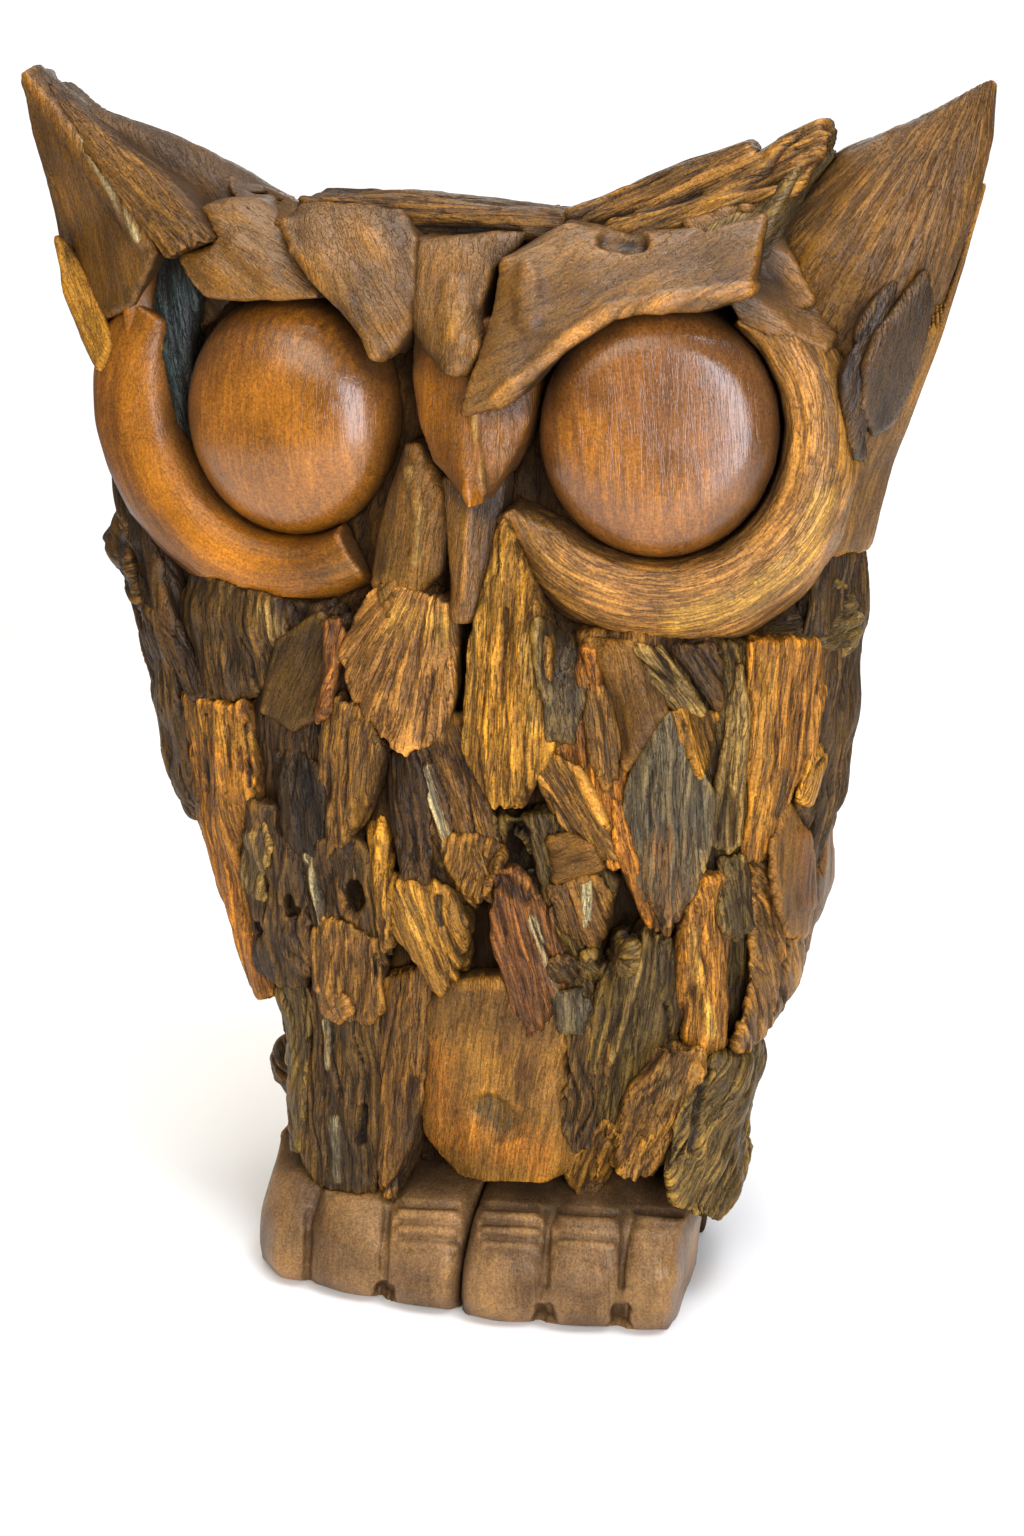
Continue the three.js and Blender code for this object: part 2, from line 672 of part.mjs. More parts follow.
function addUpperBody() {
  glue("left_side_root", WOOD.dark, chip("left_side_root", {
    spine: seen([-192, 420], [-186, 350], [-160, 232]),
    widths: [30, 50, 60, 46, 34, 18],
    lift: 24,
    footLift: 14,
  }));
  glue("right_side_root", WOOD.dark, chip("right_side_root", {
    spine: seen([168, 398], [172, 330], [158, 222]),
    widths: [28, 58, 56, 38, 12],
    lift: 15,
    footLift: 10,
  }));
  glue("left_cheek_board", WOOD.dark, chip("left_cheek_board", {
    spine: seen([-82, 362], [-93, 274], [-89, 184]), widths: [30, 38, 40, 32, 26, 18], lift: 9,
  }));
  glue("left_cheek_root", WOOD.dark, chip("left_cheek_root", {
    spine: seen([-122, 368], [-129, 334], [-138, 302]), widths: [52, 66, 58, 38, 10], lift: 13, crown: 5,
  }));
  glue("right_inner_stave", WOOD.dark, chip("right_inner_stave", {
    spine: seen([121, 352], [122, 240], [123, 110]), widths: [12, 16, 22, 24, 20, 8], lift: 9,
  }));
  glue("right_cheek_root", WOOD.red, chip("right_cheek_root", {
    spine: seen([77, 358], [84, 283], [92, 207]), widths: [46, 48, 38, 24, 16, 10], lift: 11, crown: 5,
  }));
  glue("centre_red_root", WOOD.red, chip("centre_red_root", {
    spine: seen([-18, 312], [-8, 265], [-2, 218]), widths: [30, 34, 36, 34, 20], lift: 11, ragged: 4,
  }));
  glue("left_hollow_root", WOOD.dark, chip("left_hollow_root", {
    spine: seen([-74, 246], [-70, 213], [-69, 180]), widths: [22, 40, 44, 32], lift: 12, crown: 5,
  }), [hollow({ at: [-61, -91, 216], radii: [7, 14, 11], turn: 8 })]);
  glue("left_burl", WOOD.red, chip("left_burl", {
    spine: seen([-107, 258], [-108, 209], [-109, 160]), widths: [20, 36, 44, 48, 34], lift: 14, crown: 7,
  }), [
    hollow({ at: [-117, -78, 188], radii: [6, 11, 8] }),
    hollow({ at: [-98, -87, 205], radii: [4.5, 10, 8] }),
  ]);
  glue("right_gold_board", WOOD.gold, chip("right_gold_board", {
    spine: seen([143, 352], [141, 297], [131, 243]), widths: [34, 35, 30, 16, 8], lift: 16, crown: 3,
  }));
  glue("left_gold_slab", WOOD.gold, chip("left_gold_slab", {
    spine: seen([-141, 310], [-138, 227], [-119, 144]), widths: [40, 54, 38, 22, 16, 10], lift: 17, crown: 5,
  }));
  glue("left_gold_splinter", WOOD.tan, chip("left_gold_splinter", {
    spine: seen([-60, 318], [-59, 277], [-70, 235]), widths: [18, 32, 26, 16, 5], lift: 17,
  }));
  glue("right_gold_blade", WOOD.gold, chip("right_gold_blade", {
    spine: seen([55, 352], [52, 297], [68, 243]), widths: [7, 18, 42, 28, 11], lift: 17, twist: -2,
  }));
  glue("cheek_fan", WOOD.red, chip("cheek_fan", {
    spine: seen([-21, 373], [-31, 337], [-24, 301]), widths: [38, 47, 54, 50, 26], lift: 19, ragged: 5,
  }));
  glue("right_grey_leaf", WOOD.grey, chip("right_grey_leaf", {
    spine: seen([89, 322], [89, 268], [90, 215]), widths: [3, 26, 38, 34, 24, 5], lift: 21, crown: 5,
  }));
  glue("nose_strip", WOOD.brow, slab("nose_strip", {
    crown: 3,
    thick: 36,
    ribs: [
      [-18, -84, 426, 14, -84, 428],
      [-13, -88, 399, 12, -88, 400],
      [-10, -93, 376, 7, -93, 377],
      [-9, -96, 361, 3, -96, 362],
    ],
  }));
  glue("tongue", WOOD.ochre, chip("tongue", {
    spine: seen([15, 410], [17, 340], [16, 272]), widths: [3, 19, 35, 42, 38, 14], lift: 25, crown: 4,
  }));
  glue("nose_left", WOOD.tan, slab("nose_left", {
    crown: 6,
    thick: 38,
    ribs: [
      [-34, -82, 441, -25, -84, 441],
      [-41, -84, 421, -17, -88, 422],
      [-47, -86, 398, -14, -90, 400],
      [-50, -88, 381, -16, -92, 383],
      [-49, -90, 370, -29, -93, 371],
      [-45, -91, 361, -37, -93, 362],
    ],
  }));
}

function addLowerBody() {
  glue("left_lower_stave", WOOD.dark, slab("left_lower_stave", {
    crown: 5,
    thick: 48,
    ribs: [
      [-104, -60, 168, -58, -82, 172],
      [-108, -66, 140, -49, -88, 148],
      [-107, -72, 108, -48, -90, 118],
      [-104, -80, 78, -48, -94, 86],
      [-86, -90, 52, -53, -97, 54],
    ],
  }));
  glue("left_inner_stave", WOOD.tan, slab("left_inner_stave", {
    crown: 3,
    thick: 44,
    ribs: [
      [-47, -88, 172, -22, -90, 186],
      [-48, -90, 150, -22, -94, 152],
      [-48, -94, 110, -27, -97, 113],
      [-49, -96, 80, -32, -99, 83],
      [-48, -98, 53, -41, -100, 54],
    ],
  }));
  glue("gnarled_root", WOOD.dark, chip("gnarled_root", {
    spine: seen([35, 268], [41, 214], [50, 160]), widths: [46, 50, 42, 30, 20, 18], lift: 10, crown: 6,
  }), [hollow({ at: [20, -94, 246], radii: [8, 12, 11] })]);
  glue("right_corner_root", WOOD.dark, slab("right_corner_root", {
    crown: 4,
    thick: 46,
    ribs: [
      [118, -70, 140, 132, -48, 132],
      [107, -80, 124, 134, -50, 113],
      [100, -86, 104, 128, -54, 91],
      [99, -90, 84, 128, -58, 72],
      [102, -92, 68, 128, -60, 58],
      [116, -86, 56, 123, -64, 50],
    ],
  }));
  glue("right_orange_stave", WOOD.gold, slab("right_orange_stave", {
    crown: 4,
    thick: 42,
    ribs: [
      [131, -62, 250, 143, -58, 248],
      [133, -68, 224, 149, -48, 216],
      [134, -68, 198, 154, -24, 184],
      [134, -66, 176, 150, -24, 158],
      [130, -62, 156, 141, -34, 146],
      [124, -56, 140, 131, -48, 134],
    ],
  }));
  glue("right_burl", WOOD.dark, chip("right_burl", {
    spine: seen([83, 212], [77, 151], [62, 92]), widths: [20, 32, 42, 48, 38, 20], lift: 15, crown: 7,
  }));
  glue("right_knee", WOOD.red, slab("right_knee", {
    crown: 6,
    thick: 38,
    ribs: [
      [138, -60, 277, 153, -44, 264],
      [141, -68, 255, 161, -28, 246],
      [143, -70, 238, 163, -24, 226],
      [146, -70, 221, 163, -24, 208],
      [150, -64, 206, 158, -34, 195],
    ],
  }));
  glue("left_tan_block", WOOD.tan, chip("left_tan_block", {
    spine: seen([-61, 203], [-65, 175], [-60, 148]), widths: [30, 37, 37, 27], lift: 17, ragged: 3,
  }));
  glue("belly_block", WOOD.gold, chip("belly_block", {
    spine: seen([2, 180], [8, 124], [18, 72]),
    widths: [40, 72, 80, 84, 84, 56],
    lift: 16,
    footLift: 22,
    crown: 8,
  }), [hollow({ at: [-8, -108, 103], radii: [11, 9, 7] })]);
  glue("right_gold_strip", WOOD.gold, chip("right_gold_strip", {
    spine: seen([110, 240], [108, 165], [112, 96]), widths: [9, 21, 20, 20, 19, 13], lift: 19,
  }));
  glue("red_blade", WOOD.red, chip("red_blade", {
    spine: seen([13, 241], [25, 195], [30, 148]), widths: [10, 26, 29, 24, 7], lift: 20, twist: 2,
  }));
  glue("gold_chip", WOOD.gold, chip("gold_chip", {
    spine: seen([-30, 234], [-17, 204], [-4, 172]), widths: [14, 36, 37, 22, 12], lift: 20, ragged: 5,
  }));
  glue("right_burl_leaf", WOOD.tan, chip("right_burl_leaf", {
    spine: seen([96, 148], [88, 112], [70, 76]),
    widths: [20, 33, 35, 27, 9],
    lift: 24,
    footLift: 32,
    crown: 5,
  }));
}

// Plainer staves clad the sides and the back
function addBack() {
  glue("left_flank_stave", WOOD.dark, chip("left_flank_stave", {
    spine: wrapped([-112, 470], [-108, 300], [-104, 40]), widths: [30, 60, 60, 50, 30], lift: 9,
  }));
  glue("right_flank_stave", WOOD.dark, chip("right_flank_stave", {
    spine: wrapped([114, 440], [108, 260], [106, 30]), widths: [34, 60, 56, 48, 28], lift: 9,
  }));
  glue("back_left_stave", WOOD.tan, chip("back_left_stave", {
    spine: wrapped([-146, 500], [-148, 280], [-150, 60]), widths: [40, 68, 68, 54, 26], lift: 9,
  }));
  glue("back_right_stave", WOOD.red, chip("back_right_stave", {
    spine: wrapped([144, 490], [146, 260], [148, 30]), widths: [36, 64, 66, 56, 24], lift: 10,
  }));
  glue("back_middle_stave", WOOD.dark, chip("back_middle_stave", {
    spine: wrapped([177, 430], [176, 240], [174, 50]), widths: [26, 56, 60, 46, 18], lift: 12,
  }));
}

function addFeet() {
  glue("left_foot", WOOD.foot, footBlock({ joints: [-117, -83, -42, 0], ahead: 0 }));
  glue("right_foot", WOOD.foot, footBlock({ joints: [2, 43, 83, 110], ahead: 2 }));
}

function largest(solidPiece) {
  const parts = solidPiece.decompose();
  return parts.reduce((best, part) => (part.volume() > best.volume() ? part : best));
}

function touches(one, two) {
  const a = one.boundingBox();
  const b = two.boundingBox();
  return a.min.every((low, i) => low < b.max[i] && b.min[i] < a.max[i]);
}

function meshOf(name, solidPiece, colour, shift) {
  const { vertProperties, triVerts } = solidPiece.getMesh();
  const geometry = new THREE.BufferGeometry();
  geometry.setAttribute("position", new THREE.BufferAttribute(Float32Array.from(vertProperties), 3));
  geometry.setIndex(Array.from(triVerts));
  geometry.translate(shift.x, shift.y, shift.z);
  geometry.computeVertexNormals();
  const material = new THREE.MeshStandardMaterial({ color: colour, roughness: 0.45, metalness: 0 });
  const mesh = new THREE.Mesh(geometry, material);
  mesh.name = name;
  return mesh;
}

addHorns();
addBack();
addUpperBody();
addLowerBody();
addFeet();
addFace();

// Each piece is cut by the trunk and by the pieces under it
const cutTrunk = trunk(GLUE_GAP);
const finished = [{ name: "trunk", colour: WOOD.trunk, body: trunk(0) }];
const laid = [];
for (const { name, colour, shape, holes } of PIECES) {
  let body = shape(0).subtract(cutTrunk);
  for (const hole of holes) body = body.subtract(hole);
  for (const under of laid) {
    if (touches(body, under)) body = body.subtract(under);
  }
  laid.push(shape(GLUE_GAP));
  finished.push({ name, colour, body: largest(body).asOriginal().simplify(CUT_TOLERANCE) });
}

// The whole stands with the middle of its underside on the origin
const extent = new THREE.Box3();
for (const { body } of finished) {
  const { min, max } = body.boundingBox();
  extent.expandByPoint(new THREE.Vector3(...min)).expandByPoint(new THREE.Vector3(...max));
}
const middle = extent.getCenter(new THREE.Vector3());
const shift = new THREE.Vector3(-middle.x, -middle.y, -extent.min.z);

const owl = new THREE.Group();
for (const { name, colour, body } of finished) owl.add(meshOf(name, body, colour, shift));

export default owl;
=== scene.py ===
"""Carved wooden owl, pieced from root chips glued round a log and varnished.

The solids come in as a fixed frame. Each one gets its own wood surface: a fine mesh, relief cut
along its own grain, and its own stain. The small chips between them are made here as well.
"""

import math
from dataclasses import dataclass

import bpy
import numpy as np
from bpy.props import FloatProperty, FloatVectorProperty, PointerProperty
from mathutils import Euler, Matrix, Vector
from mathutils.bvhtree import BVHTree


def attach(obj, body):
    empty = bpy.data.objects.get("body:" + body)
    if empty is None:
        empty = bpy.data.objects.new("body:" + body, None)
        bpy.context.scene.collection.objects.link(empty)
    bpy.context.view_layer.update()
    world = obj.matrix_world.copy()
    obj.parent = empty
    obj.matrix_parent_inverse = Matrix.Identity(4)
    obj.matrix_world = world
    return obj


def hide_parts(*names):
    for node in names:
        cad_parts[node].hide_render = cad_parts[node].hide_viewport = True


bl_info = {
    "name": "Carved wooden owl",
    "version": (1, 0, 0),
    "blender": (4, 5, 0),
    "location": "3D View > Sidebar > Owl",
    "description": "Dresses the owl's solids as split, carved and varnished wood",
    "category": "Object",
}

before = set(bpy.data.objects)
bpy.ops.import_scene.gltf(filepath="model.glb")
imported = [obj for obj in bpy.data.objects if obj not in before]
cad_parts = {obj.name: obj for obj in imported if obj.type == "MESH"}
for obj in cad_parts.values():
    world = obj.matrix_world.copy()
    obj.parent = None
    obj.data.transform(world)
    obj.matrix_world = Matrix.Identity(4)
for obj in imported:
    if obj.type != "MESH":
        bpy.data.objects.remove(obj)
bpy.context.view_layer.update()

MM = 0.001
PORE_MM = 0.7  # coarser than real pores, so that they show
SPECK_MM = 1.3  # dust and torn fibre ends under the varnish
CLOUD_MM = 34

# Painted shade, with dust, darkens hollows from the first depth on and is darkest at the second
HOLLOW_CELL_MM = 2.0
HOLLOW_FROM_MM, HOLLOW_FULL_MM = 4.0, 20.0

# Another solid this near covers a point; a ray starts just above the surface
TOUCH_MM, SKIN_MM = 3.2, 0.15
COVERED_FROM = 0.72  # share of covered neighbours from which a face is never seen
COVERED_FACES_KEPT = 0.08
FEWEST_COVERED = 500  # with fewer covered points than this a piece isn't thinned

# Grain that runs round an eye or fans out is measured along an arc of this radius
ROUND_GRAIN_MM, FAN_GRAIN_MM = 80.0, 70.0
HEAD_FROM_MM = 470  # above this the pieces face forwards, not out from the log

# Streaks turn browner where they are dark and more golden where they are pale
DARK_TINT, PALE_TINT = (1, 0.88, 0.62), (1, 0.94, 0.64)

# Painted shade with dust at the root of each furrow and a painted highlight with wear on the top of each
# ridge, as shares of the wood's colour
FURROW_SHADE_AND_DUST = (0.20, 0.15, 0.10, 1)
RIDGE_HIGHLIGHT_AND_WEAR = (2.0, 1.9, 1.6, 1)

# Old brushed varnish: a clear film with a soft gloss, thin enough not to veil the stain
VARNISH_IOR, VARNISH_ROUGHNESS, MOST_SPECULAR = 1.5, 0.16, 0.25

# A small chip reaches this far into what carries it and follows it by this much
CHIP_ROOT_MM, CHIP_FOLLOWS_MM = 7, 4
# Its crown: how far each step lies in and how much it rises, as shares of its width
CROWN_STEPS = ((0.14, 0.10), (0.16, 0.04))

# The floor in metres, and the white room's strength as light on the owl and as seen behind it
FLOOR_RADIUS = 1.5
WORLD_ON_OWL, WORLD_BEHIND_OWL = 0.16, 1.1

# The camera stands where the photograph was taken from
PHOTO_WIDTH, PHOTO_HEIGHT = 1024, 1536
LENS_MM, SENSOR_MM = 50.86, 36.0
FOCAL_PIXELS = LENS_MM / SENSOR_MM * PHOTO_HEIGHT
CAMERA_PLACE = Vector((0.2731, -1.0406, 0.600))
CAMERA_TURN = Euler((math.radians(72.64), 0.0, math.radians(14.5)))

# The log's axis and the eyes' centres, in millimetres
LOG_CENTRE = (5.0, 13.0)
LOG_FLATNESS = 3.4
EYE_CENTRES = {-1: (-83.0, 13.2, 450.0), 1: (79.0, 13.2, 450.0)}
EYE_TURN = math.radians(8.0)
EYE_RADIUS = 55.8
EYE_STRETCH = 1.06

rng = np.random.default_rng(611)
GRADIENTS = rng.normal(size=(4096, 3)).astype(np.float32)
GRADIENTS /= np.linalg.norm(GRADIENTS, axis=1, keepdims=True)


def linear(hex_colour):
    """The linear colour of an sRGB hex value such as #8c4a20."""
    channels = [int(hex_colour[i : i + 2], 16) / 255 for i in (1, 3, 5)]
    return tuple(c / 12.92 if c <= 0.04045 else ((c + 0.055) / 1.055) ** 2.4 for c in channels)


@dataclass
class Cut:
    """How a surface was cut or torn. Heights and sizes in millimetres. Coarse widens the small
    faces, kept is the share of them that stays, grow closes the gap to the neighbours, and figure
    is how strongly the grain shows in the colour."""

    swell: float = 0.4
    swell_size: float = 24
    bundle: float = 0.0
    bundle_size: float = 7
    fibre: float = 0.0
    fibre_size: float = 2.6
    ledge: float = 0.0
    ledge_size: float = 9
    crack: float = 0.0
    crack_size: float = 12
    wander: float = 3
    shoulder: float = 1.2
    smoothing: int = 6
    coarse: float = 1.0
    kept: float = 0.6
    grow: float = 0.0
    figure: float = 1.0


CUTS = {
    "turned": Cut(
        swell=0.25, swell_size=34, shoulder=0.3, smoothing=12, wander=2, coarse=1.4, kept=1.0,
        figure=0.5,
    ),
    "carved": Cut(
        swell=0.7, swell_size=24, fibre=0.12, fibre_size=2.4, shoulder=0.6, smoothing=12, coarse=1.3,
        grow=1.0, figure=0.4,
    ),
    "lined": Cut(
        swell=0.6, swell_size=24, bundle=0.5, bundle_size=4, fibre=0.2, fibre_size=2, shoulder=0.6,
        smoothing=12, coarse=1.3, grow=1.0, figure=1.0,
    ),
    "slab": Cut(
        swell=1.5, swell_size=19, bundle=0.45, bundle_size=8, fibre=0.18, wander=6, shoulder=0.9,
        smoothing=10, coarse=1.15, grow=2.0, figure=0.4,
    ),
    "sawn": Cut(
        swell=0.5, swell_size=30, bundle=0.6, bundle_size=4.5, fibre=0.35, fibre_size=2.2,
        wander=2, shoulder=0.6, smoothing=10, figure=0.8,
    ),
    "split": Cut(
        swell=1.4, swell_size=22, bundle=1.3, bundle_size=6, fibre=0.6, fibre_size=2.4,
        ledge=1.5, ledge_size=9, crack=2.4, crack_size=14, wander=5, shoulder=0.7, smoothing=3, grow=1.6,
    ),
    "root": Cut(
        swell=3.0, swell_size=16, bundle=1.9, bundle_size=6.5, fibre=0.6, fibre_size=2.6,
        ledge=1.5, ledge_size=10, crack=3.0, crack_size=15, wander=10, shoulder=0.8, smoothing=3, grow=1.6,
    ),
    "bark": Cut(
        swell=2.0, swell_size=20, bundle=2.2, bundle_size=9, fibre=0.8, fibre_size=3.4,
        crack=3.0, crack_size=16, wander=7, shoulder=0.0, smoothing=3, grow=6.5,
    ),
}


# Tones of varnished wood, from old black varnish to bare silvery fibre. Strokes also lay some of them as
# painted shade and painted highlights, and the blue-black is painted shade with a painted blue reflection
TONES = {
    "pitch": "#1a110a", "bog": "#35250f", "umber": "#4a3317", "walnut": "#5c421c", "drab": "#6c5528",
    "hazel": "#77521f", "chestnut": "#835221", "tan": "#8e6428", "amber": "#a4681e",
    "honey": "#a46e23", "ochre": "#ac7a2a", "straw": "#bd9042", "blue_black_shade_and_reflection": "#1f3036",
    "slate": "#5e5038", "driftwood": "#8a6f43", "dusk": "#a6753d", "silver": "#aca089",
    "clay": "#8a6a4c",
}


@dataclass
class Chip:
    """One piece of wood. Grain is in degrees from upright, clockwise as seen from the front, or the
    point that it fans out from, or round an eye, or along the piece. Ragged is how far its upper and
    lower end are torn back, in millimetres, and softened is how many times its edges are rounded."""

    slot: str
    cut: str
    tone: str
    grain: object = None
    ragged: tuple = (0.0, 0.0)
    strength: float = 1.0
    softened: int = 3


@dataclass
class Wood:
    """A wood and its finish. Dark and pale are shares of the stain. Streaks and fibres are widths
    across the grain and bump a height, in millimetres. Furrow is how far painted shade with dust
    darkens furrows, and the last is how far a painted highlight with wear lightens ridges."""

    label: str
    stain: str
    dark: float
    pale: float
    streak: float
    fibre: float
    rough: float
    coat: float
    bump: float
    furrow: float = 0.75
    convex_highlight_and_wear: float = 0.6


WOODS = {
    # Dark old log: furrows full of dust and oil and darkened further with painted shade, hardly any shine
    "log": Wood("Old log", "#4a3322", 0.34, 1.2, 5, 1.5, 0.6, 0.05, 0.7),
    # Turned hardwood caps: golden brown, long fine streaks, deep gloss
    "eye_cap": Wood("Turned cap", "#8c4a20", 0.50, 1.25, 2.6, 0.7, 0.27, 0.9, 0.06, 0.5, 0.2),
    # Sanded heartwood crescent: orange-brown, faint grain, satin varnish
    "orange_rim": Wood("Orange heartwood", "#9a4e16", 0.50, 1.2, 5, 0.9, 0.34, 0.3, 0.14, 0.5, 0.3),
    # Pale sapwood crescent: olive, strong dark growth lines
    "pale_rim": Wood("Pale sapwood", "#8f7a4a", 0.36, 1.35, 2.6, 0.8, 0.36, 0.25, 0.25, 0.6, 0.4),
    # Smoothed root slabs: mid brown, cloudy figure, glossy varnish
    "brow_slab": Wood("Root slab", "#7a5228", 0.45, 1.3, 4, 1.0, 0.36, 0.35, 0.4, 0.6, 0.5),
    # Cut fins: fine straight grain with pores
    "horn_plate": Wood("Cut fin", "#7d4f28", 0.36, 1.4, 2.4, 0.9, 0.38, 0.25, 0.4, 0.6, 0.5),
    # Knife-cut slab: warm brown, even, broad soft facets
    "beak_slab": Wood("Knife-cut slab", "#8d5a22", 0.50, 1.25, 3.4, 0.9, 0.34, 0.35, 0.25, 0.5, 0.4),
    # Weathered grey root: washed-out ridges, patches of gloss
    "grey_root": Wood("Grey root", "#5a4f45", 0.32, 1.35, 2.6, 1.0, 0.36, 0.3, 0.5),
    # Old root, bark scraped off: near black furrows, brown ridges, thin varnish
    "dark_root": Wood("Dark root", "#4b3524", 0.30, 1.4, 3.2, 1.1, 0.42, 0.16, 0.6),
    # Split heartwood: golden, open torn grain
    "gold_heartwood": Wood("Golden heartwood", "#a56a1e", 0.32, 1.4, 2.6, 0.9, 0.42, 0.18, 0.55),
    # Torn sapwood: straw-coloured fibres, dry to the eye
    "ochre_sapwood": Wood("Ochre sapwood", "#b0853a", 0.32, 1.35, 2.4, 0.9, 0.44, 0.14, 0.6),
    # Heart of a root: red-brown, coarse streaks, soft gloss
    "red_root": Wood("Red root", "#7c4620", 0.32, 1.35, 3.0, 1.0, 0.42, 0.2, 0.55),
    # Split root: mid brown, dusty torn fibres, thin varnish
    "tan_root": Wood("Tan root", "#7b5a34", 0.30, 1.4, 3.0, 1.0, 0.42, 0.18, 0.6),
    # Carved blocks: plain brown, sanded, satin
    "foot_block": Wood("Foot block", "#6b4e36", 0.66, 1.15, 5, 1.1, 0.42, 0.2, 0.2, 0.6, 0.4),
}

CHIPS = {
    "trunk": Chip("log", "bark", "umber", grain=0.0),
    # Horns and temples
    "left_horn": Chip("horn_plate", "slab", "hazel", grain=-38.0),
    "left_horn_plate": Chip("horn_plate", "carved", "hazel", grain=-14.0),
    "left_horn_feather": Chip("dark_root", "sawn", "hazel", grain=-48.0, ragged=(0.0, 5.0)),
    "left_horn_wedge": Chip("brow_slab", "slab", "hazel", grain=-60.0),
    "left_horn_patch": Chip("ochre_sapwood", "split", "ochre", grain=-12.0, ragged=(2.0, 2.0)),
    # Near black with a blue cast: painted shade of the temple's hollow with a painted reflection of the
    # bluish window
    "left_temple_root": Chip("grey_root", "root", "blue_black_shade_and_reflection", grain=-8.0, strength=0.7),
    "right_horn": Chip("horn_plate", "sawn", "hazel", grain=(229.0, -32.0, 625.0)),
    "right_horn_side": Chip("gold_heartwood", "carved", "tan", grain=16.0, softened=16),
    "right_temple_root": Chip("grey_root", "root", "umber", grain=14.0, strength=0.7),
    # Brows, forehead and beak
    "crown_board": Chip("tan_root", "split", "hazel", grain=92.0, ragged=(2.0, 2.0)),
    "right_crest_splinters": Chip("tan_root", "split", "tan", grain=66.0, ragged=(4.0, 2.0)),
    "left_brow": Chip("brow_slab", "slab", "hazel", grain=-30.0),
    "right_brow": Chip("brow_slab", "slab", "hazel", grain=58.0),
    "forehead": Chip("brow_slab", "slab", "hazel", grain=4.0),
    "beak": Chip("beak_slab", "carved", "amber", grain=0.0),
    "nose_strip": Chip("brow_slab", "carved", "hazel", grain=6.0),
    "nose_left": Chip("tan_root", "slab", "hazel", grain=8.0),
    "tongue": Chip("ochre_sapwood", "split", "ochre", grain=2.0, ragged=(0.0, 6.0)),
    "cheek_fan": Chip("red_root", "split", "dusk", grain=(-8.0, -90.0, 408.0), ragged=(0.0, 5.0)),
    # Eye caps and rims
    "left_eye": Chip("eye_cap", "turned", "amber", grain=2.0),
    "right_eye": Chip("eye_cap", "turned", "chestnut", grain=-4.0),
    "left_rim": Chip("orange_rim", "carved", "amber", grain="round"),
    "right_rim": Chip("pale_rim", "lined", "dusk", grain="round"),
    # Left of the body
    "left_side_root": Chip("dark_root", "root", "umber", ragged=(2.0, 4.0)),
    "left_side_knob": Chip("dark_root", "root", "walnut"),
    "left_ankle_knot": Chip("dark_root", "root", "walnut"),
    "left_cheek_root": Chip("dark_root", "root", "walnut", ragged=(2.0, 3.0)),
    "left_cheek_board": Chip("dark_root", "root", "umber", ragged=(3.0, 4.0)),
    "left_gold_slab": Chip("gold_heartwood", "split", "honey", ragged=(5.0, 4.0)),
    "left_gold_splinter": Chip("tan_root", "split", "tan", ragged=(4.0, 5.0)),
    "left_hollow_root": Chip("dark_root", "root", "walnut", ragged=(3.0, 3.0)),
    "left_burl": Chip("red_root", "root", "walnut", ragged=(3.0, 3.0)),
    "left_tan_block": Chip("tan_root", "split", "tan", ragged=(6.0, 4.0)),
    "left_lower_stave": Chip("dark_root", "root", "walnut", ragged=(4.0, 3.0)),
    "left_inner_stave": Chip("tan_root", "split", "hazel", ragged=(5.0, 5.0)),
    # Middle of the body
    "centre_red_root": Chip("red_root", "root", "hazel", ragged=(2.0, 5.0)),
    "gold_chip": Chip("gold_heartwood", "split", "ochre", ragged=(7.0, 6.0)),
    "gnarled_root": Chip("dark_root", "root", "drab", ragged=(3.0, 4.0)),
    "red_blade": Chip("red_root", "split", "chestnut", ragged=(1.0, 2.0)),
    "belly_block": Chip("gold_heartwood", "slab", "tan", grain=8.0),
    # Right of the body
    "right_side_root": Chip("dark_root", "root", "walnut", ragged=(2.0, 4.0)),
    "right_cheek_root": Chip("red_root", "root", "hazel", ragged=(2.0, 5.0)),
    "right_gold_board": Chip("gold_heartwood", "split", "honey", ragged=(2.0, 5.0)),
    "right_gold_blade": Chip("gold_heartwood", "split", "amber", ragged=(3.0, 4.0)),
    "right_grey_leaf": Chip("grey_root", "split", "slate", ragged=(1.0, 3.0)),
    "right_inner_stave": Chip("dark_root", "split", "drab", ragged=(2.0, 4.0)),
    "right_knee": Chip("red_root", "slab", "hazel", grain=10.0, softened=12),
    "right_orange_stave": Chip("gold_heartwood", "split", "tan", ragged=(2.0, 4.0)),
    "right_gold_strip": Chip("gold_heartwood", "split", "honey", ragged=(3.0, 5.0)),
    "right_burl": Chip("dark_root", "root", "drab", ragged=(3.0, 3.0)),
    "right_burl_leaf": Chip("tan_root", "root", "tan", ragged=(3.0, 5.0)),
    "right_corner_root": Chip("dark_root", "root", "drab", ragged=(4.0, 4.0)),
    # Flanks and back
    "left_flank_stave": Chip("dark_root", "root", "walnut", ragged=(4.0, 3.0), strength=0.8),
    "right_flank_stave": Chip("dark_root", "root", "walnut", ragged=(4.0, 3.0), strength=0.8),
    "back_left_stave": Chip("tan_root", "split", "walnut", ragged=(5.0, 3.0), strength=0.8),
    "back_middle_stave": Chip("dark_root", "root", "umber", ragged=(5.0, 3.0), strength=0.8),
    "back_right_stave": Chip("red_root", "split", "chestnut", ragged=(5.0, 3.0), strength=0.8),
    # Feet
    "left_foot": Chip("foot_block", "carved", "clay", grain=4.0),
    "right_foot": Chip("foot_block", "carved", "clay", grain=-2.0),
}


@dataclass
class Stroke:
    """A gouge, ridge or stain along a line drawn in the photograph's pixels. Depth is in
    millimetres, and a ridge's is negative."""

    line: tuple
    radius: float
    depth: float = 0.0
    tone: str = ""


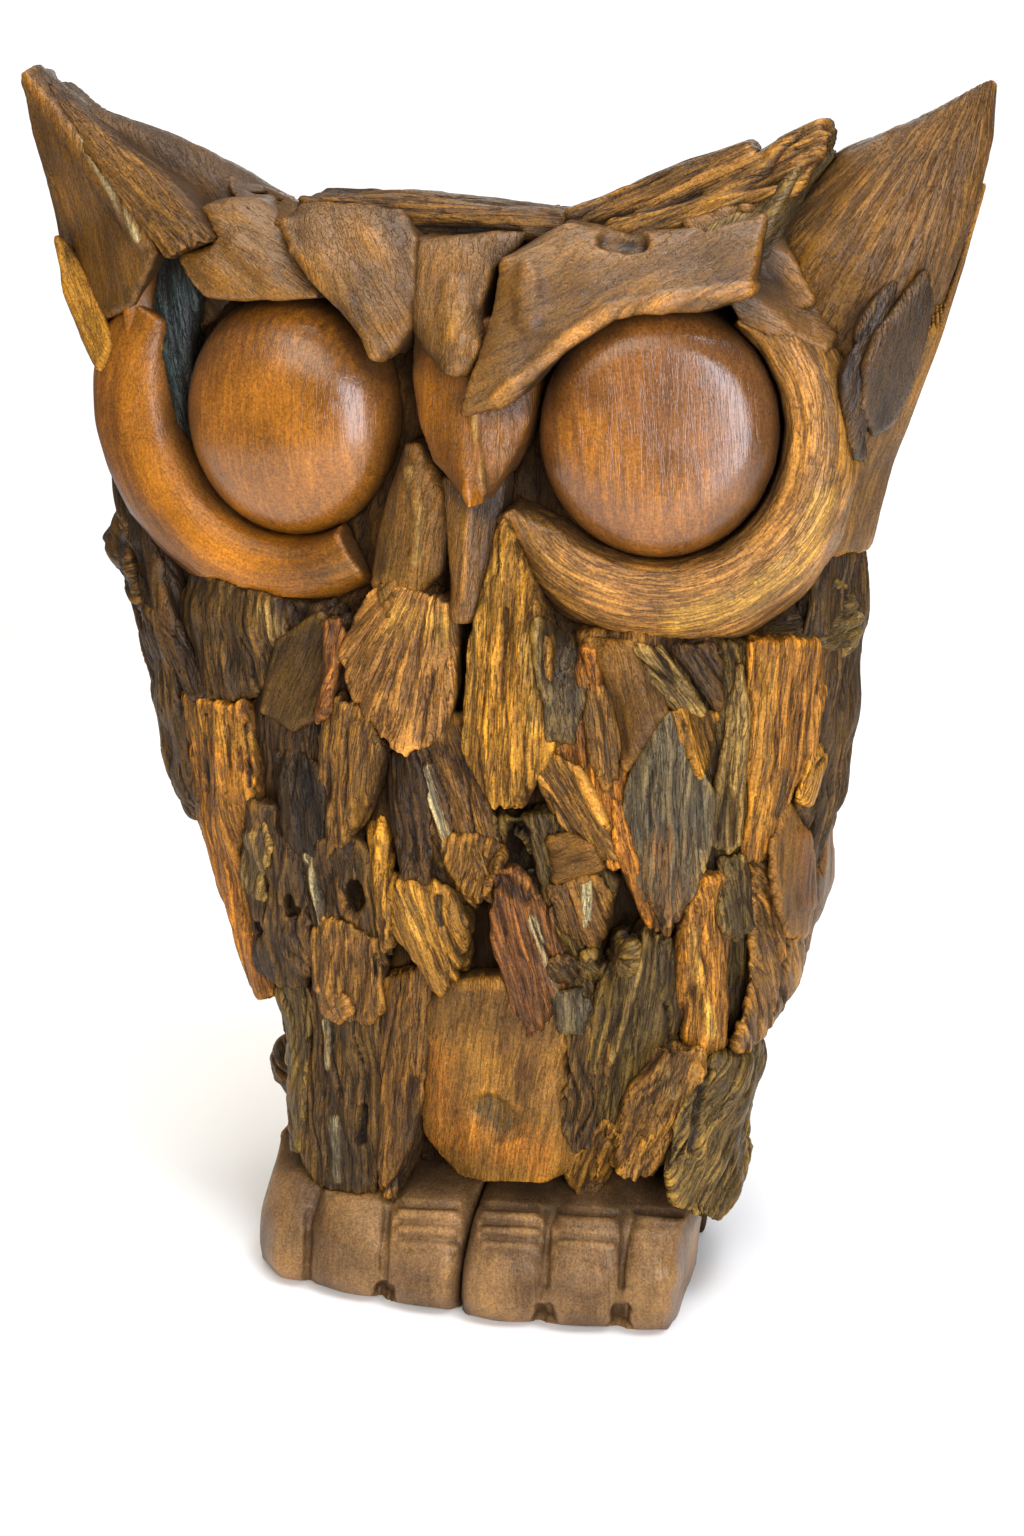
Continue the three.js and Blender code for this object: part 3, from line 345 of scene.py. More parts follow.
# The feet, in pixels: knife cuts across the toes with their ends and rows, the gaps between the
# toes, the lower edge of each block, and the nails
KNUCKLES = {
    "left_foot": ((396, 460, (1205, 1221, 1237)),),
    "right_foot": ((480, 542, (1207, 1222, 1237)), (556, 618, (1212, 1236)), (632, 686, (1212,))),
}
TOE_GAPS = {"left_foot": (309, 387), "right_foot": (548, 624)}
SOLES = {"left_foot": 1298, "right_foot": 1320}
NAILS = {"left_foot": ((432, 1262),), "right_foot": ((512, 1268), (580, 1276), (652, 1272))}

# Strokes that cut a gouge and stain it pitch, bog or slate paint the shade of the hole into it, along with
# the dark dust at its bottom
STROKES = {
    # Each eye cap is stained darker at the top and lighter below: a painted shadow of the brow
    "left_eye": (
        Stroke(((200, 340), (290, 310), (370, 340)), 66, 0, "chestnut"),
        Stroke(((260, 450), (300, 500)), 70, 0, "amber"),
    ),
    "right_eye": (
        Stroke(((590, 350), (660, 330), (720, 350)), 56, 0, "chestnut"),
        Stroke(((590, 440), (640, 500), (700, 500)), 50, 0, "amber"),
    ),
    "left_horn_plate": (
        Stroke(((50, 108), (92, 168), (143, 240)), 11, -2.2),
        # A silver line along the ridge paints its highlight
        Stroke(((72, 116), (104, 172), (141, 238)), 6, -0.4, "silver"),
        Stroke(((66, 180), (100, 240), (128, 292)), 42, 0, "hazel"),
    ),
    "left_horn_wedge": (
        Stroke(((236, 248), (268, 272)), 16, -1.6),
        Stroke(((205, 222), (245, 222)), 10, 0, "tan"),
    ),
    "left_brow": (Stroke(((300, 226), (352, 300), (388, 344)), 26, 0, "hazel"),),
    "forehead": (
        # A tan ridge paints a highlight on the forehead
        Stroke(((454, 290), (458, 330)), 20, -2.0, "tan"),
    ),
    "right_brow": (
        # A pitch pocket paints the shade in a small hollow
        Stroke(((606, 243), (640, 247)), 11, 4.5, "pitch"),
        Stroke(((530, 280), (528, 318)), 17, -2.5),
        # A pale line along the lower edge paints its highlights
        Stroke(((498, 396), (556, 346), (612, 309), (680, 298), (752, 286)), 9, -1.8, "dusk"),
        Stroke(((560, 250), (600, 236)), 26, 0, "tan"),
    ),
    "right_crest_splinters": (
        Stroke(((696, 228), (742, 206)), 8, 0.8, "silver"),
        Stroke(((640, 212), (750, 156)), 9, -1.2, "dusk"),
        Stroke(((590, 226), (660, 206), (700, 194)), 5, 2.2, "pitch"),
    ),
    # A pitch line under the slab's edge paints the shadow under its overhang
    "crown_board": (Stroke(((398, 232), (460, 230), (516, 234)), 10, 3, "pitch"),),
    "beak": (
        Stroke(((500, 392), (500, 452)), 17, 0, "honey"),
        # A straw line along the ridge paints its highlight
        Stroke(((472, 400), (482, 492)), 5, -1.0, "straw"),
    ),
    "nose_left": (
        # A pale raised line paints a grey highlight
        Stroke(((412, 470), (420, 512), (416, 560)), 7, -1.0, "driftwood"),
        Stroke(((392, 540), (388, 596)), 12, 0, "walnut"),
    ),
    "nose_strip": (Stroke(((470, 500), (464, 600)), 5, -1.2, "dusk"),),
    "tongue": (
        Stroke(((500, 560), (474, 640), (464, 740)), 12, 0, "straw"),
        Stroke(((528, 640), (532, 730)), 11, -0.8, "straw"),
        Stroke(((506, 610), (502, 700)), 4, 1.6, "chestnut"),
    ),
    "cheek_fan": (
        Stroke(((400, 620), (440, 628)), 24, 0, "straw"),
        Stroke(((384, 690), (430, 722)), 18, 0, "dusk"),
    ),
    "right_horn": (
        Stroke(((960, 110), (930, 150)), 28, 0, "hazel"),
        Stroke(((790, 200), (784, 250), (800, 290)), 16, 0, "tan"),
    ),
    "right_horn_side": (
        Stroke(((900, 480), (862, 540)), 22, 0, "hazel"),
    ),
    "right_rim": (
        Stroke(((764, 292), (812, 340), (836, 396), (842, 450), (836, 500)), 52, 0, "tan"),
        Stroke(((516, 512), (566, 580)), 34, 0, "tan"),
        Stroke(((822, 500), (800, 556), (742, 602), (676, 618)), 22, -0.6, "straw"),
    ),
    "left_rim": (
        Stroke(((104, 340), (108, 420), (128, 490), (180, 560)), 20, 0, "chestnut"),
        Stroke(((330, 570), (370, 550)), 26, 0, "hazel"),
    ),
    "left_cheek_root": (Stroke(((266, 610), (280, 640)), 14, -1.2, "driftwood"),),
    "left_gold_slab": (
        Stroke(((205, 712), (208, 790)), 4, 2.4, "pitch"),
        Stroke(((246, 724), (250, 786)), 4, 2.4, "pitch"),
        Stroke(((190, 716), (262, 748)), 20, 0, "ochre"),
        Stroke(((214, 850), (262, 980)), 26, 0, "amber"),
    ),
    "left_burl": (
        Stroke(((254, 836), (262, 880)), 11, -2.0, "driftwood"),
        Stroke(((288, 938), (262, 958)), 20, -2.0, "umber"),
    ),
    "left_hollow_root": (
        Stroke(((312, 852), (317, 892), (322, 926)), 5, -1.6, "silver"),
        Stroke(((338, 880), (344, 912), (358, 922)), 5, -1.6, "hazel"),
    ),
    "left_tan_block": (
        Stroke(((324, 940), (380, 938)), 9, 0, "dusk"),
        Stroke(((376, 950), (376, 972)), 4, 3.0, "pitch"),
    ),
    "left_lower_stave": (
        Stroke(((328, 1020), (330, 1066)), 5, -1.4, "silver"),
        Stroke(((336, 1120), (338, 1180)), 7, -1.2, "silver"),
        Stroke(((364, 1108), (362, 1140)), 6, 5.0, "pitch"),
        Stroke(((300, 1000), (296, 1100)), 12, 0, "hazel"),
    ),
    "centre_red_root": (
        Stroke(((428, 768), (434, 800), (448, 832), (446, 862)), 7, -2.2, "silver"),
        Stroke(((482, 846), (478, 890)), 16, 0, "tan"),
    ),
    "gold_chip": (
        Stroke(((438, 896), (440, 924)), 5, 4.0, "slate"),
        Stroke(((404, 892), (420, 930)), 12, 0, "straw"),
    ),
    "red_blade": (
        Stroke(((532, 918), (544, 956), (556, 1004)), 6, -1.8, "silver"),
        Stroke(((500, 880), (526, 896)), 12, 4.0, "bog"),
    ),
    "gnarled_root": (
        Stroke(((516, 828), (524, 866), (532, 896)), 15, 6.0, "pitch"),
        Stroke(((534, 836), (540, 880)), 5, -2.0, "drab"),
    ),
    "belly_block": (
        Stroke(((430, 1000), (540, 1020)), 46, 0, "hazel"),
        Stroke(((516, 1040), (548, 1092)), 22, 1.0, "dusk"),
        Stroke(((434, 1060), (448, 1130), (540, 1150)), 34, 0, "amber"),
        Stroke(((488, 1106), (504, 1124)), 22, 4.5, "slate"),
        Stroke(((580, 1010), (582, 1084), (590, 1150)), 18, 8.0, "pitch"),
        Stroke(((424, 1178), (414, 1160)), 14, 6.0, "bog"),
    ),
    "right_grey_leaf": (
        Stroke(((668, 852), (662, 912)), 34, 0, "hazel"),
        Stroke(((700, 850), (690, 900)), 5, -1.4, "driftwood"),
    ),
    "right_gold_board": (
        Stroke(((768, 664), (764, 820)), 16, 0, "ochre"),
        Stroke(((784, 776), (776, 812)), 10, 1.5, "slate"),
    ),
    "right_gold_blade": (
        Stroke(((556, 760), (592, 808)), 8, -1.0, "straw"),
        Stroke(((600, 690), (630, 772)), 7, -1.0, "straw"),
    ),
    "right_gold_strip": (Stroke(((690, 930), (708, 1030)), 9, -0.8, "straw"),),
    "right_knee": (Stroke(((800, 838), (806, 900)), 14, -2.0, "chestnut"),),
    "right_orange_stave": (Stroke(((764, 870), (778, 980)), 8, -0.6, "honey"),),
    "right_burl": (
        Stroke(((640, 960), (612, 1060)), 6, -1.6, "driftwood"),
        # Pitch in the deep hole between chips paints its shade, with the dark bottom
        Stroke(((626, 900), (632, 936)), 14, 6.0, "pitch"),
    ),
    "right_burl_leaf": (
        Stroke(((676, 1112), (644, 1146), (612, 1184)), 8, -1.6, "ochre"),
        Stroke(((664, 1070), (670, 1092)), 10, -1.0, "driftwood"),
    ),
    "right_corner_root": (Stroke(((706, 1070), (690, 1150)), 6, 3.0, "pitch"),),
}
for foot, toes in KNUCKLES.items():
    cuts = [(start, end, row) for start, end, rows in toes for row in rows]
    gaps, sole = TOE_GAPS[foot], SOLES[foot]
    STROKES[foot] = (
        *(Stroke(((start + 4, row), (end - 4, row + 3)), 5, 1.4) for start, end, row in cuts),
        *(Stroke(((start + 6, row + 8), (end - 6, row + 11)), 5, -0.8) for start, end, row in cuts),
        *(Stroke(((gap, 1212), (gap - 2, 1286)), 6, 1.4) for gap in gaps),
        *(Stroke(((gap - 3, sole - 8), (gap - 3, sole + 14)), 13, 5.0) for gap in gaps),
        *(Stroke(((nail - 14, row), (nail + 14, row + 2)), 20, -1.4) for nail, row in NAILS[foot]),
    )


class Noise:
    """Smooth noise over points, about -1 to 1, the same on every run."""

    @staticmethod
    def at(points, seed):
        """Noise with cells one unit wide."""
        cell = np.floor(points).astype(np.int64)
        part = (points - cell).astype(np.float32)
        ease = part * part * part * (part * (part * 6 - 15) + 10)
        total = np.zeros(len(points), np.float32)
        for corner in range(8):
            step = np.array([(corner >> axis) & 1 for axis in range(3)])
            spot = cell + step
            key = (spot[:, 0] * 73856093) ^ (spot[:, 1] * 19349663) ^ (spot[:, 2] * 83492791)
            slope = GRADIENTS[(key ^ (seed * 7919)) & 4095]
            share = np.where(step, ease, 1 - ease).prod(axis=1)
            total += share * ((part - step) * slope).sum(axis=1)
        return total * 1.5

    @staticmethod
    def along_grain(grain, sizes, seed):
        """Noise with cells of these sizes across, along and into the wood, in millimetres."""
        return Noise.at(grain / np.asarray(sizes, np.float32), seed)


def ramp(values, low, high):
    """0 below low, 1 above high, eased in between."""
    t = np.clip((values - low) / (high - low), 0, 1)
    return t * t * (3 - 2 * t)


def deselect_all():
    """Leaves edit mode and selects nothing."""
    if bpy.context.object and bpy.context.object.mode != "OBJECT":
        bpy.ops.object.mode_set(mode="OBJECT")
    bpy.ops.object.select_all(action="DESELECT")


def take(piece):
    """Makes piece the only selected and the active object."""
    deselect_all()
    piece.select_set(True)
    bpy.context.view_layer.objects.active = piece


def modify(piece, kind, **settings):
    """Adds a modifier with its settings and applies it."""
    take(piece)
    modifier = piece.modifiers.new(kind.title(), kind)
    for name, value in settings.items():
        setattr(modifier, name, value)
    bpy.ops.object.modifier_apply(modifier=modifier.name)


def points_of(mesh):
    flat = np.empty(len(mesh.vertices) * 3, np.float32)
    mesh.vertices.foreach_get("co", flat)
    return flat.reshape(-1, 3)


def normals_of(mesh):
    flat = np.empty(len(mesh.vertices) * 3, np.float32)
    mesh.vertices.foreach_get("normal", flat)
    return flat.reshape(-1, 3)


def edges_of(mesh):
    flat = np.empty(len(mesh.edges) * 2, np.int32)
    mesh.edges.foreach_get("vertices", flat)
    return flat.reshape(-1, 2)


def spread(values, edges, times):
    """Evens values out between neighbouring vertices."""
    count = len(values)
    ends = np.concatenate([edges[:, 0], edges[:, 1]])
    others = np.concatenate([edges[:, 1], edges[:, 0]])
    valence = np.maximum(np.bincount(ends, minlength=count), 1)
    table = values.reshape(count, -1)
    for _ in range(times):
        summed = [np.bincount(ends, weights=column[others], minlength=count) for column in table.T]
        table = 0.5 * table + 0.5 * (np.stack(summed, axis=1) / valence[:, None])
    return table.reshape(values.shape).astype(np.float32)


def set_attribute(mesh, name, kind, key, values):
    """Stores one value for each vertex, in place of an earlier one."""
    if name in mesh.attributes:
        mesh.attributes.remove(mesh.attributes[name])
    attribute = mesh.attributes.new(name, kind, "POINT")
    attribute.data.foreach_set(key, np.ascontiguousarray(values, np.float32).ravel())


# The camera's place and turn, and the way from the world into its view
CAMERA_MATRIX = Matrix.Translation(CAMERA_PLACE) @ CAMERA_TURN.to_matrix().to_4x4()
INTO_CAMERA = np.array(CAMERA_MATRIX.inverted(), np.float32)


def photo_pixels(points):
    """Where the photograph shows each point: across and down, in its pixels."""
    local = points @ INTO_CAMERA[:3, :3].T + INTO_CAMERA[:3, 3]
    ahead = -local[:, 2]
    across = PHOTO_WIDTH / 2 + FOCAL_PIXELS * local[:, 0] / ahead
    down = PHOTO_HEIGHT / 2 - FOCAL_PIXELS * local[:, 1] / ahead
    return np.stack([across, down], axis=1)


class Solids:
    """All solids as one surface for rays, which says which node a face belongs to."""

    def __init__(self):
        points, faces, self.owner = [], [], []
        for name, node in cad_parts.items():
            start = len(points)
            points += [v.co.copy() for v in node.data.vertices]
            faces += [tuple(start + i for i in polygon.vertices) for polygon in node.data.polygons]
            self.owner += [name] * len(node.data.polygons)
        self.tree = BVHTree.FromPolygons(points, faces)

    def seen_at(self, across, down):
        """How far the wood at a pixel of the photograph is, or None, and the way to it."""
        aim = Vector((
            (across - PHOTO_WIDTH / 2) / FOCAL_PIXELS,
            (PHOTO_HEIGHT / 2 - down) / FOCAL_PIXELS,
            -1.0,
        ))
        aim = (CAMERA_MATRIX.to_3x3() @ aim).normalized()
        _, _, _, reach = self.tree.ray_cast(CAMERA_PLACE, aim)
        return reach, aim

    def covered(self, name, points, normals):
        """1 where another solid lies right on a point, 0 where it is open."""
        result = np.zeros(len(points), np.float32)
        cast, owner = self.tree.ray_cast, self.owner
        rise, reach = SKIN_MM * MM, TOUCH_MM * MM
        for i, (point, normal) in enumerate(zip(points.tolist(), normals.tolist())):
            normal = Vector(normal)
            _, _, face, _ = cast(Vector(point) + normal * rise, normal, reach)
            if face is not None and owner[face] != name:
                result[i] = 1
        return result


solids = Solids()


def outward(points_mm):
    """The way out from the log's axis at each point, level."""
    away = np.zeros_like(points_mm)
    away[:, 0] = (points_mm[:, 0] - LOG_CENTRE[0]) / LOG_FLATNESS
    away[:, 1] = points_mm[:, 1] - LOG_CENTRE[1] - 0.01
    return away / np.maximum(np.linalg.norm(away, axis=1, keepdims=True), 1e-6)


def grain_frame(points_mm, chip):
    """Across, along and out for one piece, with the middle that they are measured from."""
    middle = (points_mm.max(axis=0) + points_mm.min(axis=0)) / 2
    out = outward(middle[None])[0].astype(np.float64)
    if middle[2] > HEAD_FROM_MM:
        out = np.array([0.0, -1.0, 0.0])
    if isinstance(chip.grain, float):
        angle = math.radians(chip.grain)
        up = np.array([0.0, 0.0, 1.0])
        along = math.cos(angle) * up + math.sin(angle) * np.cross(up, out)
    else:
        along = np.linalg.eigh(np.cov((points_mm - middle).T))[1][:, 2]  # the longest way
        if along[2] < 0:
            along = -along
    out = out - along * (out @ along)
    out /= np.linalg.norm(out)
    across = np.cross(along, out)
    return middle, across, along, out


def grain_places(points_mm, chip):
    """Each point's place in its wood: across, along and below the surface, in millimetres."""
    middle, across, along, out = grain_frame(points_mm, chip)
    if chip.grain == "round":
        side = -1 if middle[0] < 0 else 1
        centre = np.array(EYE_CENTRES[side])
        from_eye = points_mm - centre
        turn = side * EYE_TURN
        level = from_eye[:, 0] * math.cos(turn) + from_eye[:, 1] * math.sin(turn)
        depth = -from_eye[:, 0] * math.sin(turn) + from_eye[:, 1] * math.cos(turn)
        radius = np.hypot(level, from_eye[:, 2])
        angle = np.arctan2(from_eye[:, 2], level * side)
        return np.stack([radius, angle * ROUND_GRAIN_MM, depth], axis=1).astype(np.float32), along
    if isinstance(chip.grain, tuple):
        away = points_mm - np.array(chip.grain)
        length = np.hypot(away[:, 0], away[:, 2])
        angle = np.arctan2(away[:, 0], -away[:, 2])
        return np.stack([angle * FAN_GRAIN_MM, -length, away[:, 1]], axis=1).astype(np.float32), along
    local = points_mm - middle
    return np.stack([local @ across, local @ along, local @ out], axis=1).astype(np.float32), along


def relief_height(grain, cut, seed):
    """The height of the torn or cut surface above the smooth one, in millimetres."""
    size = cut.swell_size
    height = cut.swell * Noise.along_grain(grain, (size, size * 1.8, size), seed)
    strayed = grain.copy()
    strayed[:, 0] += cut.wander * Noise.along_grain(grain, (30, 55, 30), seed + 1)
    strayed[:, 0] += 0.35 * cut.wander * Noise.along_grain(grain, (11, 24, 14), seed + 2)
    # Bundles and fibres are rounded ridges with sharp furrows between them
    if cut.bundle:
        size = cut.bundle_size
        bundles = np.abs(Noise.along_grain(strayed, (size, size * 13, size * 2), seed + 3))
        height += cut.bundle * (2.2 * np.minimum(bundles, 0.45) - 0.5)
    if cut.fibre:
        size = cut.fibre_size
        fibres = np.abs(Noise.along_grain(strayed, (size, size * 14, size * 2), seed + 4))
        height += cut.fibre * (2.0 * np.minimum(fibres, 0.5) - 0.5)
    # Ledges are steps from one layer of the wood to the next
    if cut.ledge:
        size = cut.ledge_size
        level = 1.6 * Noise.along_grain(strayed, (size, size * 7, size * 2), seed + 5)
        step = np.floor(level)
        height += cut.ledge * (step + ramp(level - step, 0.42, 0.58)) * 0.6
    # Cracks follow the grain in some places and not in others
    if cut.crack:
        size = cut.crack_size
        line = np.abs(Noise.along_grain(strayed, (size, size * 8, size * 2.5), seed + 6))
        where = ramp(Noise.along_grain(grain, (28, 40, 28), seed + 7), -0.05, 0.25)
        height -= cut.crack * (1 - ramp(line, 0.0, 0.085)) * where
    return height


def stroke_weight(pixels, places, radius, wobble):
    """1 on a stroke drawn in the photograph's pixels, falling to 0 at its radius."""
    nearest = np.full(len(pixels), 1e9, np.float32)
    places = [np.array(place, np.float32) for place in places]
    ends = places[1:] if len(places) > 1 else places
    for start, end in zip(places, ends):
        run = end - start
        t = np.clip(((pixels - start) @ run) / max(float(run @ run), 1e-6), 0, 1)
        nearest = np.minimum(nearest, np.linalg.norm(pixels - start - t[:, None] * run, axis=1))
    nearest = nearest * (1 + 0.3 * wobble)
    return ramp(-nearest / radius, -1.0, -0.25)


def copy_of(name):
    """A copy of a solid with its loose triangles merged."""
    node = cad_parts[name]
    piece = node.copy()
    piece.data = node.data.copy()
    piece.name = piece.data.name = f"{name}_wood"
    piece.parent = None
    piece.matrix_world = Matrix.Identity(4)
    bpy.context.scene.collection.objects.link(piece)
    take(piece)
    bpy.ops.object.mode_set(mode="EDIT")
    bpy.ops.mesh.select_all(action="SELECT")
    bpy.ops.mesh.remove_doubles(threshold=0.02 * MM)
    bpy.ops.object.mode_set(mode="OBJECT")
    return piece


def thin_hidden(piece, hidden):
    """Leaves only large faces where a neighbour covers the piece."""
    take(piece)
    bpy.ops.object.mode_set(mode="EDIT")
    bpy.ops.mesh.select_all(action="DESELECT")
    bpy.ops.object.mode_set(mode="OBJECT")
    piece.data.vertices.foreach_set("select", hidden)
    bpy.ops.object.mode_set(mode="EDIT")
    bpy.ops.mesh.select_mode(type="VERT")
    bpy.ops.mesh.decimate(ratio=COVERED_FACES_KEPT)
    bpy.ops.object.mode_set(mode="OBJECT")


def even_facets(piece, times):
    """Rounds the blank's broad facets and leaves its sharp edges."""
    mesh = piece.data
    edges = edges_of(mesh)
    bend = 1 - np.linalg.norm(spread(normals_of(mesh), edges, 5), axis=1)
    free = 1 - ramp(spread(bend, edges, 2), 0.02, 0.075)
    points = points_of(mesh) / MM
    for _ in range(times):
        points += (spread(points, edges, 4) - points) * free[:, None]
    mesh.vertices.foreach_set("co", (points * MM).astype(np.float32).ravel())
    mesh.update()


def carve(piece, chip, seed, scale):
    """Cuts the relief, the strokes and the ragged ends, and stores what the wood reads."""
    mesh = piece.data
    cut = CUTS[chip.cut]
    points = points_of(mesh)
    points_mm = points / MM
    edges = edges_of(mesh)
    normals = spread(normals_of(mesh), edges, 2)
    normals /= np.maximum(np.linalg.norm(normals, axis=1, keepdims=True), 1e-6)
    buried = spread(solids.covered(piece.name.removesuffix("_wood"), points, normals), edges, 2)
    bare = 1 - np.clip(buried, 0, 1)
    near_joint = np.clip(2.2 * spread(buried, edges, 8), 0, 1)
    grain, along = grain_places(points_mm, chip)
    height = relief_height(grain, cut, seed) * chip.strength * scale
    moved = (height + cut.grow) * bare - cut.shoulder * near_joint * bare
    moved += cut.grow * (1 - bare) * (cut.shoulder > 0)
    # The stain drifts along the grain, in brightness and in warmth
    stain = np.tile(np.array(linear(TONES[chip.tone]), np.float32), (len(points), 1))
    drift = Noise.along_grain(grain, (16, 90, 18), seed + 11)
    stain *= (1 + 0.30 * drift)[:, None]
    stain[:, 2] *= 1 - 0.10 * Noise.along_grain(grain, (30, 60, 30), seed + 12)
    # Strokes only reach the bare side towards the camera, and stain them streak by streak
    pixels = photo_pixels(points)
    wobble = Noise.at(points_mm / 6, seed + 13)
    facing = (((points - np.array(CAMERA_PLACE)) * normals).sum(axis=1) < 0) * bare
    streaky = ramp(Noise.along_grain(grain, (1.8, 34, 5), seed + 17), -0.55, 0.25)
    for stroke in STROKES.get(piece.name.removesuffix("_wood"), ()):
        weight = stroke_weight(pixels, stroke.line, stroke.radius, wobble) * facing
        moved -= stroke.depth * weight
        # A stroke's tone is a stain; some tones are painted shade in gouges, painted highlights on ridges and
        # the painted shadow on the eye caps
        if stroke.tone:
            tone = np.array(linear(TONES[stroke.tone]), np.float32)
            stain += (tone - stain) * (weight * streaky)[:, None]
    # Both ends are torn back along the grain in uneven teeth
    offset = normals * moved[:, None]
    low, high = grain[:, 1].min(), grain[:, 1].max()
    for pull, end, sign in ((chip.ragged[0], high, 1), (chip.ragged[1], low, -1)):
        if pull:
            near = ramp(-np.abs(grain[:, 1] - end), -4.5 * pull, 0.0)
            teeth = 0.5 + 0.7 * Noise.along_grain(grain, (3.2, 60, 7), seed + 15)
            teeth += 0.5 * Noise.along_grain(grain, (8, 90, 16), seed + 16)
            teeth = np.clip(teeth, 0, 1.4)
            offset -= (sign * pull * near * teeth * bare)[:, None] * along.astype(np.float32)
    points_mm = points_mm + offset
    points_mm[:, 2] = np.maximum(points_mm[:, 2], 0)  # nothing reaches below the floor
    mesh.vertices.foreach_set("co", (points_mm * MM).astype(np.float32).ravel())
    mesh.update()
    # What the wood reads: furrows and ridges, which the woods darken with painted shade and dust and lighten
    # with a painted highlight and wear, the figure, the grain and the stain
    reach = max(cut.bundle + cut.fibre + cut.ledge * 0.6 + cut.swell * 0.5, 0.4)
    # How far each point bulges out: bulges get a painted highlight with wear, dips painted shade with dust
    convex_highlight_and_wear = ((points_mm - spread(points_mm, edges, 3)) * normals).sum(axis=1)
    relief = np.clip(0.5 + 0.4 * height / reach + 1.1 * spread(convex_highlight_and_wear, edges, 1), 0, 1)
    set_attribute(mesh, "relief", "FLOAT", "value", relief)
    set_attribute(mesh, "figure", "FLOAT", "value", np.full(len(points), cut.figure))
    shifted = grain * MM + np.float32(0.37) * (seed % 97)
    set_attribute(mesh, "grain", "FLOAT_VECTOR", "vector", shifted)
    own = np.array(linear(WOODS[chip.slot].stain), np.float32)
    stain = np.clip(stain, 0.002, 1) / own
    set_attribute(mesh, "stain", "FLOAT_COLOR", "color", np.c_[stain, np.ones(len(stain))])


def finish(piece, chip, replaced=None):
    """Gives a piece its wood, says what it rides on and hides the solid that it stands for."""
    piece.data.materials.clear()
    piece.data.materials.append(wood_of(chip.slot))
    piece.data.shade_smooth()
    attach(piece, "root")
    if replaced:
        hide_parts(replaced)
    DRESSED.append(piece)


DRESSED = []


def surface(piece, chip, seed, step):
    """Turns a faceted blank into wood: even small faces, softened, then carved."""
    sizes = bpy.context.scene.owl_sizes
    modify(piece, "REMESH", mode="VOXEL", voxel_size=step * CUTS[chip.cut].coarse)
    modify(piece, "SMOOTH", factor=0.5, iterations=chip.softened)
    even_facets(piece, CUTS[chip.cut].smoothing)
    mesh = piece.data
    hidden = solids.covered(piece.name.removesuffix("_wood"), points_of(mesh), normals_of(mesh))
    hidden = spread(hidden, edges_of(mesh), 3) > COVERED_FROM
    if hidden.sum() > FEWEST_COVERED:
        thin_hidden(piece, hidden)
    carve(piece, chip, seed, sizes.relief)
    if CUTS[chip.cut].kept < 1:
        modify(piece, "DECIMATE", ratio=CUTS[chip.cut].kept)


def seed_of(name):
    """A number of a piece's own, from its name."""
    return sum((i + 3) * ord(letter) for i, letter in enumerate(name)) % 7919


def dress(names, step):
    """Replaces solids by carved wood of the same form."""
    for name in names:
        chip = CHIPS[name]
        piece = copy_of(name)
        surface(piece, chip, seed_of(name), step)
        finish(piece, chip, name)


def add(tree, kind, inputs=None, **settings):
    """Adds a node with its settings; an input is a value or another node's output."""
    node = tree.nodes.new(kind)
    for name, value in settings.items():
        setattr(node, name, value)
    for name, value in (inputs or {}).items():
        if isinstance(value, bpy.types.NodeSocket):
            tree.links.new(value, node.inputs[name])
        else:
            node.inputs[name].default_value = value
    return node


